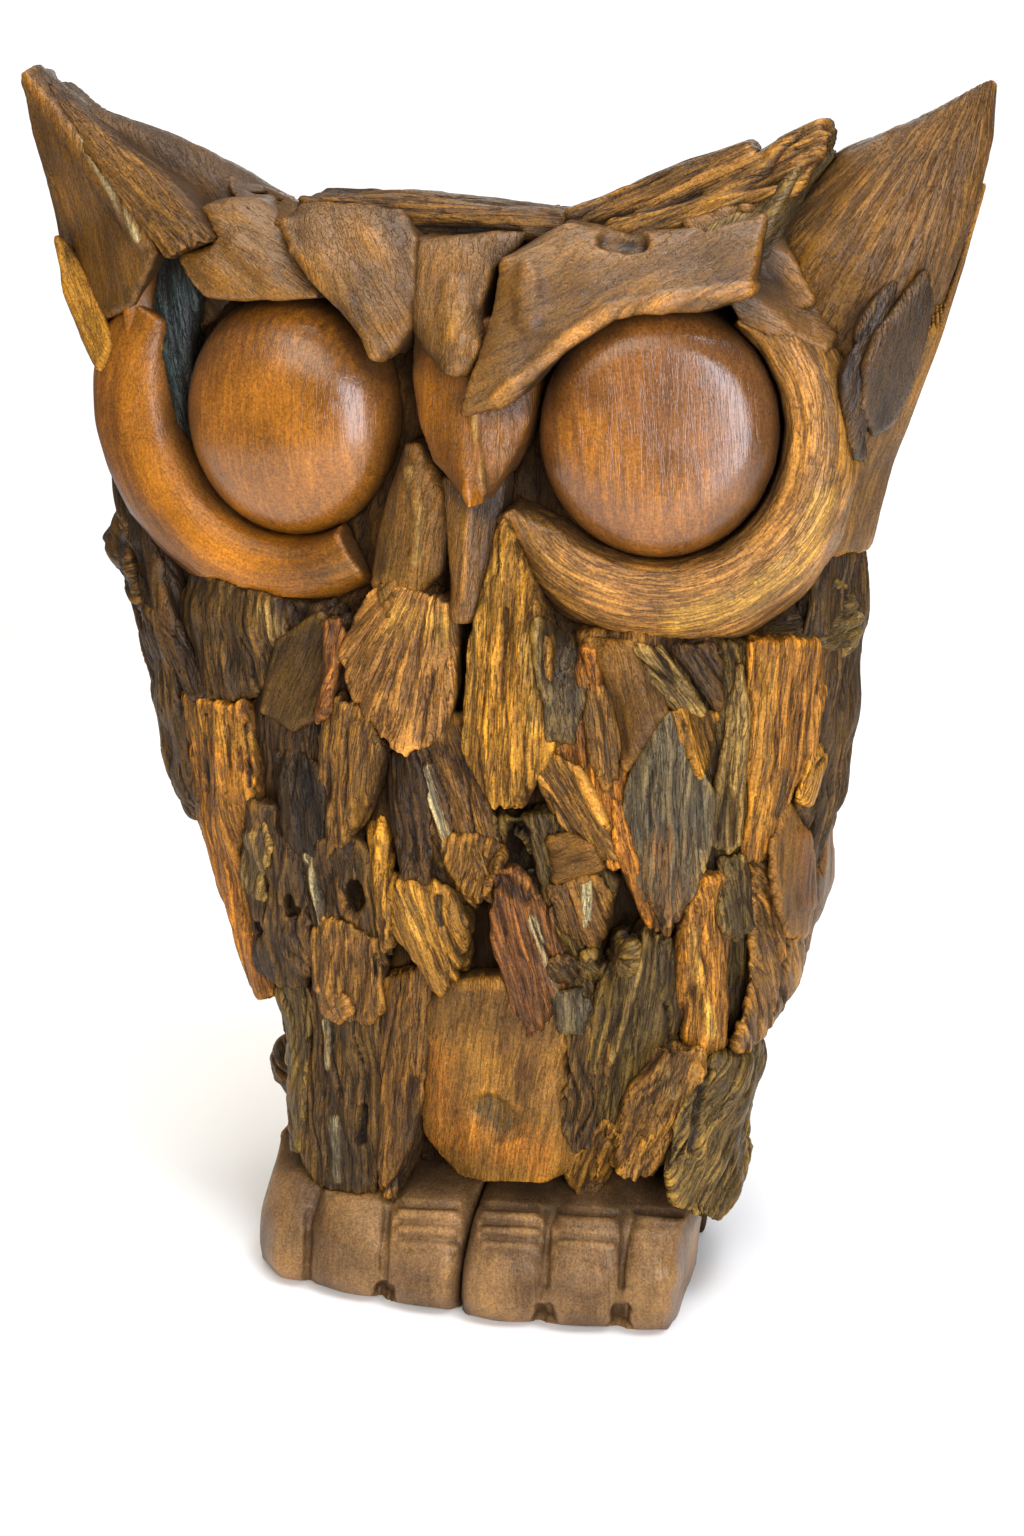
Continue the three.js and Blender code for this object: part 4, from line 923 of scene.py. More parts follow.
def wood_of(slot):
    """The wood of a slot, made when it is first asked for."""
    label = f"{slot}_varnished"
    if label in bpy.data.materials:
        return bpy.data.materials[label]
    wood = WOODS[slot]
    looks = bpy.context.scene.owl_finish
    material = bpy.data.materials.new(label)
    material.use_nodes = True
    tree = material.node_tree
    tree.nodes.clear()
    grain = add(tree, "ShaderNodeAttribute", attribute_name="grain").outputs["Vector"]
    stain = add(tree, "ShaderNodeAttribute", attribute_name="stain").outputs["Color"]
    relief = add(tree, "ShaderNodeAttribute", attribute_name="relief").outputs["Fac"]
    hollow = add(tree, "ShaderNodeAttribute", attribute_name="hollow").outputs["Fac"]
    shown = add(tree, "ShaderNodeAttribute", attribute_name="figure").outputs["Fac"]
    place = add(tree, "ShaderNodeTexCoord").outputs["Object"]

    # Streaks, fibres and pores lie along the grain, clouds and specks lie all over
    noises = {}
    for name, width, length, settings in (
        ("streaks", wood.streak, 16, {"Detail": 3.0, "Roughness": 0.55, "Distortion": 0.35}),
        ("fibres", wood.fibre, 22, {"Detail": 4.0, "Roughness": 0.65}),
        ("pores", PORE_MM, 10, {"Detail": 1.0}),
    ):
        per_metre = (1 / (width * MM), 1 / (width * length * MM), 1 / (width * 2 * MM))
        laid = add(tree, "ShaderNodeVectorMath", {0: grain, 1: per_metre}, operation="MULTIPLY")
        noises[name] = add(tree, "ShaderNodeTexNoise", {
            "Vector": laid.outputs["Vector"], "Scale": 1.0, **settings,
        }).outputs["Fac"]
    for name, size, settings in (
        ("clouds", CLOUD_MM, {"Detail": 4.0, "Roughness": 0.6}),
        ("specks", SPECK_MM, {"Detail": 2.0, "Roughness": 0.7}),
    ):
        noises[name] = add(tree, "ShaderNodeTexNoise", {
            "Vector": place, "Scale": 1 / (size * MM), **settings,
        }).outputs["Fac"]
    streaks, fibres, clouds, specks = (noises[name] for name in ("streaks", "fibres", "clouds", "specks"))
    pores = add(tree, "ShaderNodeMapRange", {
        "Value": noises["pores"], "From Min": 0.60, "From Max": 0.70,
    }, interpolation_type="SMOOTHSTEP").outputs["Result"]

    # A fine dark line runs down the middle of each streak
    from_middle = add(tree, "ShaderNodeMath", {0: streaks, 1: 0.5}, operation="SUBTRACT").outputs["Value"]
    from_middle = add(tree, "ShaderNodeMath", {0: from_middle}, operation="ABSOLUTE").outputs["Value"]
    line = add(tree, "ShaderNodeMapRange", {
        "Value": from_middle, "From Min": 0.0, "From Max": 0.03, "To Min": 0.6, "To Max": 0.0,
    }).outputs["Result"]

    # The figure is 0 where the wood is dark and 1 where it is pale
    figure = 0.0
    for value, weight in ((streaks, 0.55), (fibres, 0.45)):
        figure = add(
            tree, "ShaderNodeMath", {0: value, 1: weight, 2: figure}, operation="MULTIPLY_ADD",
        ).outputs["Value"]
    figure = add(tree, "ShaderNodeMapRange", {
        "Value": figure, "From Min": 0.38, "From Max": 0.62,
    }).outputs["Result"]
    for value, weight in ((pores, -0.35), (line, -1.0)):
        figure = add(
            tree, "ShaderNodeMath", {0: value, 1: weight, 2: figure}, operation="MULTIPLY_ADD",
            use_clamp=True,
        ).outputs["Value"]
    figure = add(tree, "ShaderNodeMix", {0: shown, 2: 0.5, 3: figure}).outputs[0]
    dark = (*(wood.dark * share for share in DARK_TINT), 1)
    pale = (*(wood.pale * share for share in PALE_TINT), 1)
    shares = add(tree, "ShaderNodeMix", {0: figure, 6: dark, 7: pale}, data_type="RGBA").outputs[2]
    cloudy = add(tree, "ShaderNodeMapRange", {
        "Value": clouds, "From Min": 0.3, "From Max": 0.7, "To Min": 0.6, "To Max": 1.2,
    }).outputs["Result"]
    speckled = add(tree, "ShaderNodeMapRange", {
        "Value": specks, "From Min": 0.35, "From Max": 0.65, "To Min": 0.66, "To Max": 1.30,
    }).outputs["Result"]
    # Furrows take painted shade with dust, ridges a painted highlight with wear, and hollows painted shade
    # with dust and old varnish
    furrow = add(tree, "ShaderNodeMapRange", {
        "Value": relief, "From Min": 0.55, "From Max": 0.08, "To Max": wood.furrow,
    }, interpolation_type="SMOOTHSTEP").outputs["Result"]
    ridge = add(tree, "ShaderNodeMapRange", {
        "Value": relief, "From Min": 0.60, "From Max": 0.95, "To Max": wood.convex_highlight_and_wear,
    }, interpolation_type="SMOOTHSTEP").outputs["Result"]
    shade_and_dust_share = add(
        tree, "ShaderNodeMath", {0: hollow, 1: looks.hollow_shade_and_dust_strength}, operation="MULTIPLY", use_clamp=True,
    ).outputs["Value"]

    # The stain, then each thing that lightens or darkens it
    colour = stain
    for share, tint, blend in (
        (1.0, (*getattr(bpy.context.scene.owl_stains, slot), 1), "MULTIPLY"),
        (1.0, shares, "MULTIPLY"),
        (1.0, cloudy, "MULTIPLY"),
        (1.0, speckled, "MULTIPLY"),
        (furrow, FURROW_SHADE_AND_DUST, "MULTIPLY"),
        (ridge, RIDGE_HIGHLIGHT_AND_WEAR, "MULTIPLY"),
        (shade_and_dust_share, (*looks.hollow_shade_and_dust_colour, 1), "MIX"),
    ):
        colour = add(
            tree, "ShaderNodeMix", {0: share, 6: colour, 7: tint}, data_type="RGBA", blend_type=blend,
        ).outputs[2]

    # Clouds of thicker and thinner varnish, duller in furrows and hollows
    rough = add(tree, "ShaderNodeMapRange", {
        "Value": clouds, "From Min": 0.3, "From Max": 0.7,
        "To Min": wood.rough - 0.08, "To Max": wood.rough + 0.12,
    }).outputs["Result"]
    for value, weight in ((furrow, 0.15), (hollow, 0.3)):
        rough = add(
            tree, "ShaderNodeMath", {0: value, 1: weight, 2: rough}, operation="MULTIPLY_ADD",
            use_clamp=True,
        ).outputs["Value"]
    height = fibres
    for value, weight in ((streaks, 0.8), (specks, 0.8), (pores, -0.6), (line, -1.0)):
        height = add(
            tree, "ShaderNodeMath", {0: value, 1: weight, 2: height}, operation="MULTIPLY_ADD",
        ).outputs["Value"]
    bump = add(tree, "ShaderNodeBump", {
        "Strength": 1.0, "Distance": wood.bump * MM, "Height": height,
    }).outputs["Normal"]
    shader = add(tree, "ShaderNodeBsdfPrincipled", {
        "Base Color": colour, "Roughness": rough, "Normal": bump, "IOR": VARNISH_IOR,
        "Specular IOR Level": min(0.06 + 0.55 * wood.coat, MOST_SPECULAR),
        "Coat Weight": wood.coat * looks.varnish, "Coat Roughness": VARNISH_ROUGHNESS,
        "Coat Normal": bump,
    })
    add(tree, "ShaderNodeOutputMaterial", {"Surface": shader.outputs["BSDF"]})
    return material


def paint_shade_and_dust_in_hollows():
    """Stores how deep each point lies below the chips round it, where the woods paint shade along with dust
    and old varnish.
    """
    pieces = [(piece, points_of(piece.data) / MM, normals_of(piece.data)) for piece in DRESSED]
    points = np.concatenate([row[1] for row in pieces])
    normals = np.concatenate([row[2] for row in pieces])
    total = np.zeros(len(points), np.float32)
    weights = np.full(len(points), 1e-3, np.float32)
    for axis, sign in ((1, -1), (1, 1), (0, -1), (0, 1)):
        height = points[:, axis] * sign
        facing = np.clip(normals[:, axis] * sign, 0, 1)
        flat = points[:, [1 - axis, 2]]
        cells = ((flat - flat.min(axis=0)) / HOLLOW_CELL_MM).astype(int) + 8
        top = np.full(cells.max(axis=0) + 9, -1e4, np.float32)
        open_to = facing > 0.1
        np.maximum.at(top, tuple(cells[open_to].T), height[open_to])
        # The level of the chips round each cell: the highest near it, evened out
        wide = top.copy()
        for _ in range(3):
            for roll_axis in (0, 1):
                sides = np.maximum(np.roll(wide, 1, roll_axis), np.roll(wide, -1, roll_axis))
                wide = np.maximum(wide, sides)
        there = wide > -1e3
        filled = np.where(there, wide, 0.0)
        share = there.astype(np.float32)
        for _ in range(4):
            for roll_axis in (0, 1):
                filled = (np.roll(filled, 1, roll_axis) + filled + np.roll(filled, -1, roll_axis)) / 3
                share = (np.roll(share, 1, roll_axis) + share + np.roll(share, -1, roll_axis)) / 3
        level = (filled / np.maximum(share, 1e-3))[tuple(cells.T)]
        weight = facing**2 + 1e-4
        total += weight * ramp(level - height, HOLLOW_FROM_MM, HOLLOW_FULL_MM)
        weights += weight
    hollow = total / weights
    start = 0
    for piece, own, _ in pieces:
        part = hollow[start : start + len(own)]
        set_attribute(piece.data, "hollow", "FLOAT", "value", part)
        start += len(own)


# Turned caps: each step of the profile as a share of the radius and a depth to the front, in mm
CAP_PROFILES = {
    -1: ((1.0, 46), (1.0, 66), (0.97, 73), (0.88, 81), (0.74, 87), (0.55, 91.5), (0.32, 94.5), (0.12, 95.6)),
    1: ((1.0, 46), (1.0, 74), (0.985, 79), (0.95, 83.5), (0.79, 91.5), (0.72, 93.2), (0.5, 94.4), (0.16, 95)),
}


def turned_cap(name, side):
    """A cap turned on a lathe: rings drawn forward from a disc, each with its own width."""
    deselect_all()
    profile = CAP_PROFILES[side]
    bpy.ops.mesh.primitive_circle_add(
        vertices=64, radius=EYE_RADIUS * MM, fill_type="NGON",
        location=(0, -profile[0][1] * MM, 0), rotation=(math.radians(90), 0, 0),
    )
    cap = bpy.context.object
    cap.name = cap.data.name = f"{name}_wood"
    bpy.ops.object.transform_apply(location=True, rotation=True, scale=True)
    bpy.ops.object.mode_set(mode="EDIT")
    bpy.ops.mesh.select_all(action="SELECT")
    for (share, forward), (next_share, next_forward) in zip(profile, profile[1:]):
        bpy.ops.mesh.extrude_region_move(
            TRANSFORM_OT_translate={"value": (0, (forward - next_forward) * MM, 0)}
        )
        factor = next_share / share
        bpy.ops.transform.resize(value=(factor, 1, factor), center_override=(0, 0, 0))
    bpy.ops.mesh.select_all(action="SELECT")
    bpy.ops.mesh.normals_make_consistent(inside=False)
    bpy.ops.object.mode_set(mode="OBJECT")
    centre = Vector(EYE_CENTRES[side]) * MM
    place = Matrix.Translation(centre) @ Matrix.Rotation(side * EYE_TURN, 4, "Z")
    cap.data.transform(place @ Matrix.Diagonal((1, 1, EYE_STRETCH, 1)))
    return cap


def chip_blank(name, outline, lift):
    """A crowned blank with an outline drawn in the photograph's pixels, on what carries it."""
    deselect_all()
    bpy.ops.mesh.primitive_circle_add(vertices=len(outline), radius=0.02, fill_type="NGON")
    blank = bpy.context.object
    blank.name = blank.data.name = f"{name}_wood"
    seen = [solids.seen_at(*pixel) for pixel in outline]
    level = sorted(reach for reach, _ in seen if reach)
    near, far = level[len(level) // 4], level[(3 * len(level)) // 4]
    follows = CHIP_FOLLOWS_MM * MM
    for vertex, (reach, aim) in zip(blank.data.vertices, seen):
        reach = min(max(reach or far, near - follows), far + follows)
        vertex.co = CAMERA_PLACE + aim * (reach - lift * MM)
    blank.data.update()
    spans = [(a.co - b.co).length for a in blank.data.vertices for b in blank.data.vertices]
    width = blank.data.polygons[0].area / max(spans)
    into = seen[0][1] * (lift + CHIP_ROOT_MM) * MM
    bpy.ops.object.mode_set(mode="EDIT")
    bpy.ops.mesh.select_mode(type="FACE")
    bpy.ops.mesh.select_all(action="SELECT")
    bpy.ops.mesh.extrude_region_move(TRANSFORM_OT_translate={"value": into})
    bpy.ops.mesh.select_all(action="SELECT")
    bpy.ops.mesh.normals_make_consistent(inside=False)
    bpy.ops.mesh.select_all(action="DESELECT")
    bpy.ops.object.mode_set(mode="OBJECT")
    min(blank.data.polygons, key=lambda polygon: polygon.center.dot(into)).select = True
    bpy.ops.object.mode_set(mode="EDIT")
    for share, rise in CROWN_STEPS:
        bpy.ops.mesh.inset(thickness=share * width, depth=rise * width)
    bpy.ops.object.mode_set(mode="OBJECT")
    return blank


@dataclass
class Sliver:
    """A small chip: its outline in the photograph's pixels and how far it stands out in mm."""

    chip: Chip
    lift: float
    outline: tuple


def knob(across, down, radius):
    """A round outline."""
    turns = [math.tau * i / 8 for i in range(8)]
    return tuple((across + radius * math.cos(turn), down + radius * math.sin(turn)) for turn in turns)


SLIVERS = {
    # Round the eyes
    "left_edge_patch": Sliver(Chip("ochre_sapwood", "slab", "ochre"), 3, (
        (57, 238), (70, 250), (88, 285), (104, 318), (111, 345), (100, 370), (86, 340), (66, 290),
    )),
    "left_rim_root": Sliver(Chip("orange_rim", "carved", "amber"), 0.5, (
        (122, 296), (132, 262), (152, 256), (158, 284), (152, 310), (162, 338), (162, 366), (140, 362),
        (126, 332),
    )),
    "crest_end": Sliver(Chip("brow_slab", "carved", "hazel"), 4, (
        (228, 176), (262, 186), (296, 198), (316, 212), (304, 232), (276, 226), (246, 206), (230, 190),
    )),
    "right_rim_root": Sliver(Chip("brow_slab", "carved", "hazel"), 1.5, (
        (728, 298), (748, 290), (766, 270), (784, 276), (812, 300), (836, 336), (826, 352), (796, 336),
        (768, 334), (744, 324),
    )),
    "right_temple_gloss": Sliver(Chip("grey_root", "slab", "umber"), 5, (
        (926, 270), (930, 304), (922, 344), (906, 392), (888, 426), (872, 434), (861, 408), (864, 372),
        (880, 330), (904, 298),
    )),
    # Left of the body
    "left_edge_strip": Sliver(Chip("tan_root", "root", "walnut", ragged=(2.0, 3.0)), 2, (
        (142, 603), (160, 612), (172, 660), (186, 706), (188, 748), (200, 802), (200, 818),
        (180, 794), (166, 752), (155, 684),
    )),
    "left_narrow_strip": Sliver(Chip("dark_root", "split", "umber", ragged=(1.0, 2.0)), 4, (
        (160, 606), (178, 622), (196, 660), (206, 692), (194, 702), (178, 668), (164, 630),
    )),
    "left_cheek_smooth": Sliver(Chip("dark_root", "slab", "walnut"), 5, (
        (276, 641), (321, 613), (334, 634), (333, 677), (327, 711), (293, 728), (262, 711),
    )),
    "left_cheek_edge": Sliver(Chip("red_root", "split", "chestnut", ragged=(1.0, 3.0)), 7, (
        (322, 622), (338, 618), (346, 640), (338, 668), (330, 712), (318, 724), (326, 670),
    )),
    "left_pale_ridge": Sliver(Chip("ochre_sapwood", "split", "driftwood", ragged=(2.0, 3.0)), 3, (
        (250, 818), (266, 822), (271, 850), (262, 880), (266, 898), (252, 900), (244, 880), (248, 845),
    )),
    "left_dark_strip": Sliver(Chip("dark_root", "root", "bog", ragged=(2.0, 3.0)), 3, (
        (278, 752), (300, 748), (322, 770), (324, 822), (318, 860), (300, 850), (284, 812),
    )),
    "left_gold_stick": Sliver(Chip("gold_heartwood", "split", "ochre", ragged=(2.0, 3.0)), 6, (
        (370, 826), (383, 812), (392, 846), (393, 884), (391, 912), (394, 944), (384, 956),
        (377, 920), (374, 880),
    )),
    "left_ankle_strip": Sliver(Chip("tan_root", "root", "drab", ragged=(2.0, 3.0)), 4, (
        (280, 990), (302, 974), (312, 1004), (306, 1080), (304, 1150), (292, 1156), (290, 1020),
    )),
    "stave_cap": Sliver(Chip("tan_root", "slab", "dusk", ragged=(0.0, 3.0)), 3, (
        (318, 984), (346, 996), (352, 1012), (340, 1022), (322, 1014),
    )),
    # Middle of the body
    "centre_dark_stave": Sliver(Chip("dark_root", "split", "umber", ragged=(2.0, 4.0)), 5, (
        (390, 752), (412, 748), (426, 796), (432, 850), (426, 884), (404, 878), (396, 830),
    )),
    "centre_brown_chip": Sliver(Chip("tan_root", "split", "tan", ragged=(1.0, 5.0)), 4, (
        (440, 838), (476, 832), (503, 846), (496, 872), (480, 902), (464, 896), (448, 872),
    )),
    "cap_chip": Sliver(Chip("tan_root", "slab", "hazel"), 4, (
        (549, 840), (572, 832), (594, 846), (604, 868), (580, 880), (554, 882),
    )),
    "block_chip": Sliver(Chip("tan_root", "split", "hazel", ragged=(0.0, 3.0)), 6, (
        (549, 886), (576, 880), (600, 876), (612, 894), (611, 921), (593, 948), (579, 940),
        (552, 924),
    )),
    "block_streak": Sliver(Chip("ochre_sapwood", "split", "silver"), 8, (
        (582, 884), (590, 882), (592, 922), (584, 930),
    )),
    "knob_one": Sliver(Chip("dark_root", "root", "drab"), 5, knob(594, 965, 15)),
    "knob_two": Sliver(Chip("dark_root", "root", "drab"), 5, knob(622, 956, 14)),
    "knob_three": Sliver(Chip("dark_root", "root", "walnut"), 4, knob(562, 968, 15)),
    "lower_lump": Sliver(Chip("grey_root", "root", "slate"), 4, (
        (556, 994), (584, 986), (592, 1008), (584, 1036), (562, 1030),
    )),
    "belly_side_root": Sliver(Chip("dark_root", "root", "walnut", ragged=(3.0, 3.0)), 2, (
        (566, 1024), (588, 990), (612, 1000), (610, 1060), (600, 1110), (590, 1150), (572, 1156),
        (562, 1120), (570, 1070),
    )),
    "leaf_tip": Sliver(Chip("tan_root", "split", "tan", ragged=(0.0, 3.0)), 2, (
        (562, 1168), (580, 1146), (604, 1120), (622, 1140), (612, 1168), (596, 1192), (576, 1194),
    )),
    # Under the right eye
    "tongue_strip": Sliver(Chip("grey_root", "split", "drab", ragged=(1.0, 4.0)), 5, (
        (537, 618), (556, 628), (580, 636), (583, 698), (574, 742), (548, 748), (541, 690),
    )),
    "orange_flake": Sliver(Chip("gold_heartwood", "split", "tan", ragged=(2.0, 4.0)), 3, (
        (584, 664), (600, 672), (614, 700), (623, 745), (618, 782), (606, 794), (592, 760), (585, 710),
    )),
    "diagonal_flake": Sliver(Chip("tan_root", "split", "tan", ragged=(3.0, 4.0)), 4, (
        (526, 748), (552, 752), (580, 770), (602, 814), (618, 862), (596, 858), (556, 814),
    )),
    "brown_triangle": Sliver(Chip("red_root", "slab", "hazel"), 3, (
        (582, 638), (633, 642), (660, 676), (667, 713), (640, 752), (625, 771), (614, 700), (598, 662),
    )),
    "pale_edge": Sliver(Chip("ochre_sapwood", "split", "driftwood", ragged=(1.0, 2.0)), 6, (
        (634, 643), (660, 648), (690, 690), (704, 714), (674, 708), (652, 680),
    )),
    "dark_triangle": Sliver(Chip("dark_root", "split", "umber"), 7, (
        (674, 648), (700, 646), (721, 650), (719, 708), (700, 690),
    )),
    "ochre_bit": Sliver(Chip("ochre_sapwood", "split", "ochre", ragged=(0.0, 2.0)), 4, (
        (672, 712), (704, 708), (717, 714), (712, 747), (700, 780), (688, 750),
    )),
    "leaf_band": Sliver(Chip("gold_heartwood", "split", "amber", ragged=(0.0, 3.0)), 3, (
        (612, 800), (622, 806), (636, 856), (654, 914), (650, 928), (632, 890), (616, 850),
    )),
    "under_rim": Sliver(Chip("tan_root", "root", "drab"), 3, (
        (738, 642), (790, 612), (836, 580), (852, 588), (858, 636), (842, 656), (824, 644), (760, 646),
    )),
    # Right of the body
    "splintered_strip": Sliver(Chip("ochre_sapwood", "split", "driftwood", ragged=(3.0, 5.0)), 5, (
        (741, 664), (746, 700), (743, 780), (739, 850), (718, 858), (709, 836), (718, 782), (729, 716),
    )),
    "outer_ochre_strip": Sliver(Chip("gold_heartwood", "split", "ochre", ragged=(2.0, 2.0)), 4, (
        (820, 740), (826, 760), (808, 806), (796, 800), (808, 764),
    )),
    "olive_strip": Sliver(Chip("tan_root", "split", "drab", ragged=(2.0, 4.0)), 4, (
        (718, 858), (745, 856), (754, 925), (736, 944), (718, 922),
    )),
    # Between the crest and the right horn
    "brow_twist": Sliver(Chip("brow_slab", "slab", "hazel"), 3, (
        (684, 222), (722, 210), (752, 206), (776, 226), (794, 262), (814, 302), (796, 308), (768, 286),
        (744, 264), (706, 250),
    )),
    "horn_root": Sliver(Chip("grey_root", "root", "drab"), 2, (
        (704, 230), (752, 212), (798, 168), (836, 152), (806, 190), (784, 226), (778, 262), (752, 252),
    )),
}


def add_slivers(names, step):
    """Makes small chips, each on what carries it."""
    for name in names:
        sliver = SLIVERS[name]
        blank = chip_blank(name, sliver.outline, sliver.lift)
        surface(blank, sliver.chip, seed_of(name), step)
        finish(blank, sliver.chip)


def painted_board():
    """Matt painted board, as under a studio table: nearly white, with a faint unevenness."""
    material = bpy.data.materials.new("painted_board")
    material.use_nodes = True
    tree = material.node_tree
    tree.nodes.clear()
    place = add(tree, "ShaderNodeTexCoord").outputs["Object"]
    cloud = add(tree, "ShaderNodeTexNoise", {"Vector": place, "Scale": 3.0, "Detail": 2.0})
    tone = add(tree, "ShaderNodeMix", {
        0: cloud.outputs["Fac"], 6: (0.86, 0.86, 0.86, 1), 7: (0.90, 0.90, 0.89, 1),
    }, data_type="RGBA").outputs[2]
    shader = add(tree, "ShaderNodeBsdfPrincipled", {"Base Color": tone, "Roughness": 0.9})
    add(tree, "ShaderNodeOutputMaterial", {"Surface": shader.outputs["BSDF"]})
    return material


# Turn, rise, distance, width, height, watts and colour of each light
LIGHTS = {
    "window": (35, 2, 1.8, 1.0, 1.5, 44, "#eef3ff"),
    "skylight": (50, 64, 2.0, 0.6, 0.6, 18, "#e4edff"),
    "ceiling": (0, 89, 2.6, 2.4, 2.4, 84, "#fffaf2"),
    "room": (-12, 34, 2.6, 1.6, 1.2, 24, "#fff4e2"),
    "back_fill": (175, 22, 2.4, 2.0, 1.2, 26, "#fffaf2"),
}


def soft_box(name, turn, rise, distance, width, height, power, colour):
    """An area light round the owl: turn to the viewer's right and rise in degrees, sizes in metres."""
    aim = Vector((0, 0, 0.33))
    turn, rise = math.radians(turn), math.radians(rise)
    way = Vector((math.sin(turn) * math.cos(rise), -math.cos(turn) * math.cos(rise), math.sin(rise)))
    data = bpy.data.lights.new(name, "AREA")
    data.shape = "RECTANGLE"
    data.size, data.size_y = width, height
    data.energy = power
    data.color = linear(colour)
    box = bpy.data.objects.new(name, data)
    box.location = aim + way * distance
    box.rotation_euler = (-way).to_track_quat("-Z", "Y").to_euler()
    bpy.context.scene.collection.objects.link(box)


class OwlSizes(bpy.types.PropertyGroup):
    """Sizes of the carving."""

    front_step: FloatProperty(
        name="Front face size", description="Width of the small faces on the pieces seen from the front",
        default=1.15 * MM, min=0.6 * MM, max=4 * MM, unit="LENGTH", precision=5,
    )
    back_step: FloatProperty(
        name="Back face size", description="Width of the small faces on the log, flanks and back",
        default=1.8 * MM, min=0.8 * MM, max=6 * MM, unit="LENGTH", precision=5,
    )
    relief: FloatProperty(
        name="Relief", description="Height of the torn grain; 1 is as on the real owl",
        default=1.0, min=0.0, max=2.0, subtype="FACTOR",
    )


class OwlFinish(bpy.types.PropertyGroup):
    """How the owl is varnished, and how far painted shade with dust darkens its hollows."""

    varnish: FloatProperty(
        name="Varnish", description="Strength of the varnish's shine; 1 is as on the real owl",
        default=1.0, min=0.0, max=1.5, subtype="FACTOR",
    )
    # Strength of the painted shade, with dust and old varnish, in the hollows
    hollow_shade_and_dust_strength: FloatProperty(
        name="Dark hollows", description="How far dust and old varnish darken the hollows",
        default=0.72, min=0.0, max=1.0, subtype="FACTOR",
    )
    # Colour of the painted shade, with dust and old varnish, in the hollows
    hollow_shade_and_dust_colour: FloatVectorProperty(
        name="Hollow colour", description="Colour of old varnish and dust in the hollows",
        default=linear("#22160b"), size=3, min=0, max=1, subtype="COLOR",
    )


class OwlStains(bpy.types.PropertyGroup):
    """The colour of each wood."""


for slot, wood in WOODS.items():
    OwlStains.__annotations__[slot] = FloatVectorProperty(
        name=wood.label, description=f"Stain of the {wood.label.lower()}",
        default=linear(wood.stain), size=3, min=0, max=1, subtype="COLOR",
    )


class OWL_OT_log(bpy.types.Operator):
    """Dress the log that carries the chips"""

    bl_idname = "owl.log"
    bl_label = "Log"

    def execute(self, context):
        dress(("trunk",), context.scene.owl_sizes.back_step)
        return {"FINISHED"}


class OWL_OT_horns(bpy.types.Operator):
    """Dress both horns with the thin pieces that lie on them"""

    bl_idname = "owl.horns"
    bl_label = "Horns"

    def execute(self, context):
        dress((
            "left_horn", "left_horn_plate", "left_horn_feather", "left_horn_wedge",
            "left_horn_patch", "left_temple_root", "right_horn", "right_horn_side",
            "right_temple_root",
        ), context.scene.owl_sizes.front_step)
        return {"FINISHED"}


class OWL_OT_brows(bpy.types.Operator):
    """Dress the crown, the brows and the forehead"""

    bl_idname = "owl.brows"
    bl_label = "Brows and forehead"

    def execute(self, context):
        dress((
            "crown_board", "right_crest_splinters", "left_brow", "right_brow", "forehead",
        ), context.scene.owl_sizes.front_step)
        return {"FINISHED"}


class OWL_OT_eyes(bpy.types.Operator):
    """Turn the two eye caps"""

    bl_idname = "owl.eyes"
    bl_label = "Eye caps"

    def execute(self, context):
        for name, side in (("left_eye", -1), ("right_eye", 1)):
            cap = turned_cap(name, side)
            surface(cap, CHIPS[name], seed_of(name), context.scene.owl_sizes.front_step)
            finish(cap, CHIPS[name], name)
        return {"FINISHED"}


class OWL_OT_rims(bpy.types.Operator):
    """Dress the crescents round the eyes"""

    bl_idname = "owl.rims"
    bl_label = "Rims"

    def execute(self, context):
        dress(("left_rim", "right_rim"), context.scene.owl_sizes.front_step)
        return {"FINISHED"}


class OWL_OT_beak(bpy.types.Operator):
    """Dress the beak and the pieces that hang below it"""

    bl_idname = "owl.beak"
    bl_label = "Beak and cheek"

    def execute(self, context):
        dress((
            "beak", "nose_strip", "nose_left", "tongue", "cheek_fan",
        ), context.scene.owl_sizes.front_step)
        return {"FINISHED"}


class OWL_OT_left_roots(bpy.types.Operator):
    """Dress the chips on the body's left"""

    bl_idname = "owl.left_roots"
    bl_label = "Left roots"

    def execute(self, context):
        dress((
            "left_side_root", "left_side_knob", "left_ankle_knot", "left_cheek_root",
            "left_cheek_board", "left_gold_slab", "left_gold_splinter", "left_hollow_root",
            "left_burl", "left_tan_block", "left_lower_stave", "left_inner_stave",
        ), context.scene.owl_sizes.front_step)
        return {"FINISHED"}


class OWL_OT_middle_roots(bpy.types.Operator):
    """Dress the chips in the middle of the body"""

    bl_idname = "owl.middle_roots"
    bl_label = "Middle roots and belly"

    def execute(self, context):
        dress((
            "centre_red_root", "gold_chip", "gnarled_root", "red_blade", "belly_block",
        ), context.scene.owl_sizes.front_step)
        return {"FINISHED"}


class OWL_OT_right_roots(bpy.types.Operator):
    """Dress the chips on the body's right"""

    bl_idname = "owl.right_roots"
    bl_label = "Right roots"

    def execute(self, context):
        dress((
            "right_side_root", "right_cheek_root", "right_gold_board", "right_gold_blade",
            "right_grey_leaf", "right_inner_stave", "right_knee", "right_orange_stave",
            "right_gold_strip", "right_burl", "right_burl_leaf", "right_corner_root",
        ), context.scene.owl_sizes.front_step)
        return {"FINISHED"}


class OWL_OT_back_staves(bpy.types.Operator):
    """Dress the plainer staves on the flanks and the back"""

    bl_idname = "owl.back_staves"
    bl_label = "Flanks and back"

    def execute(self, context):
        dress((
            "left_flank_stave", "right_flank_stave", "back_left_stave", "back_middle_stave",
            "back_right_stave",
        ), context.scene.owl_sizes.back_step)
        return {"FINISHED"}


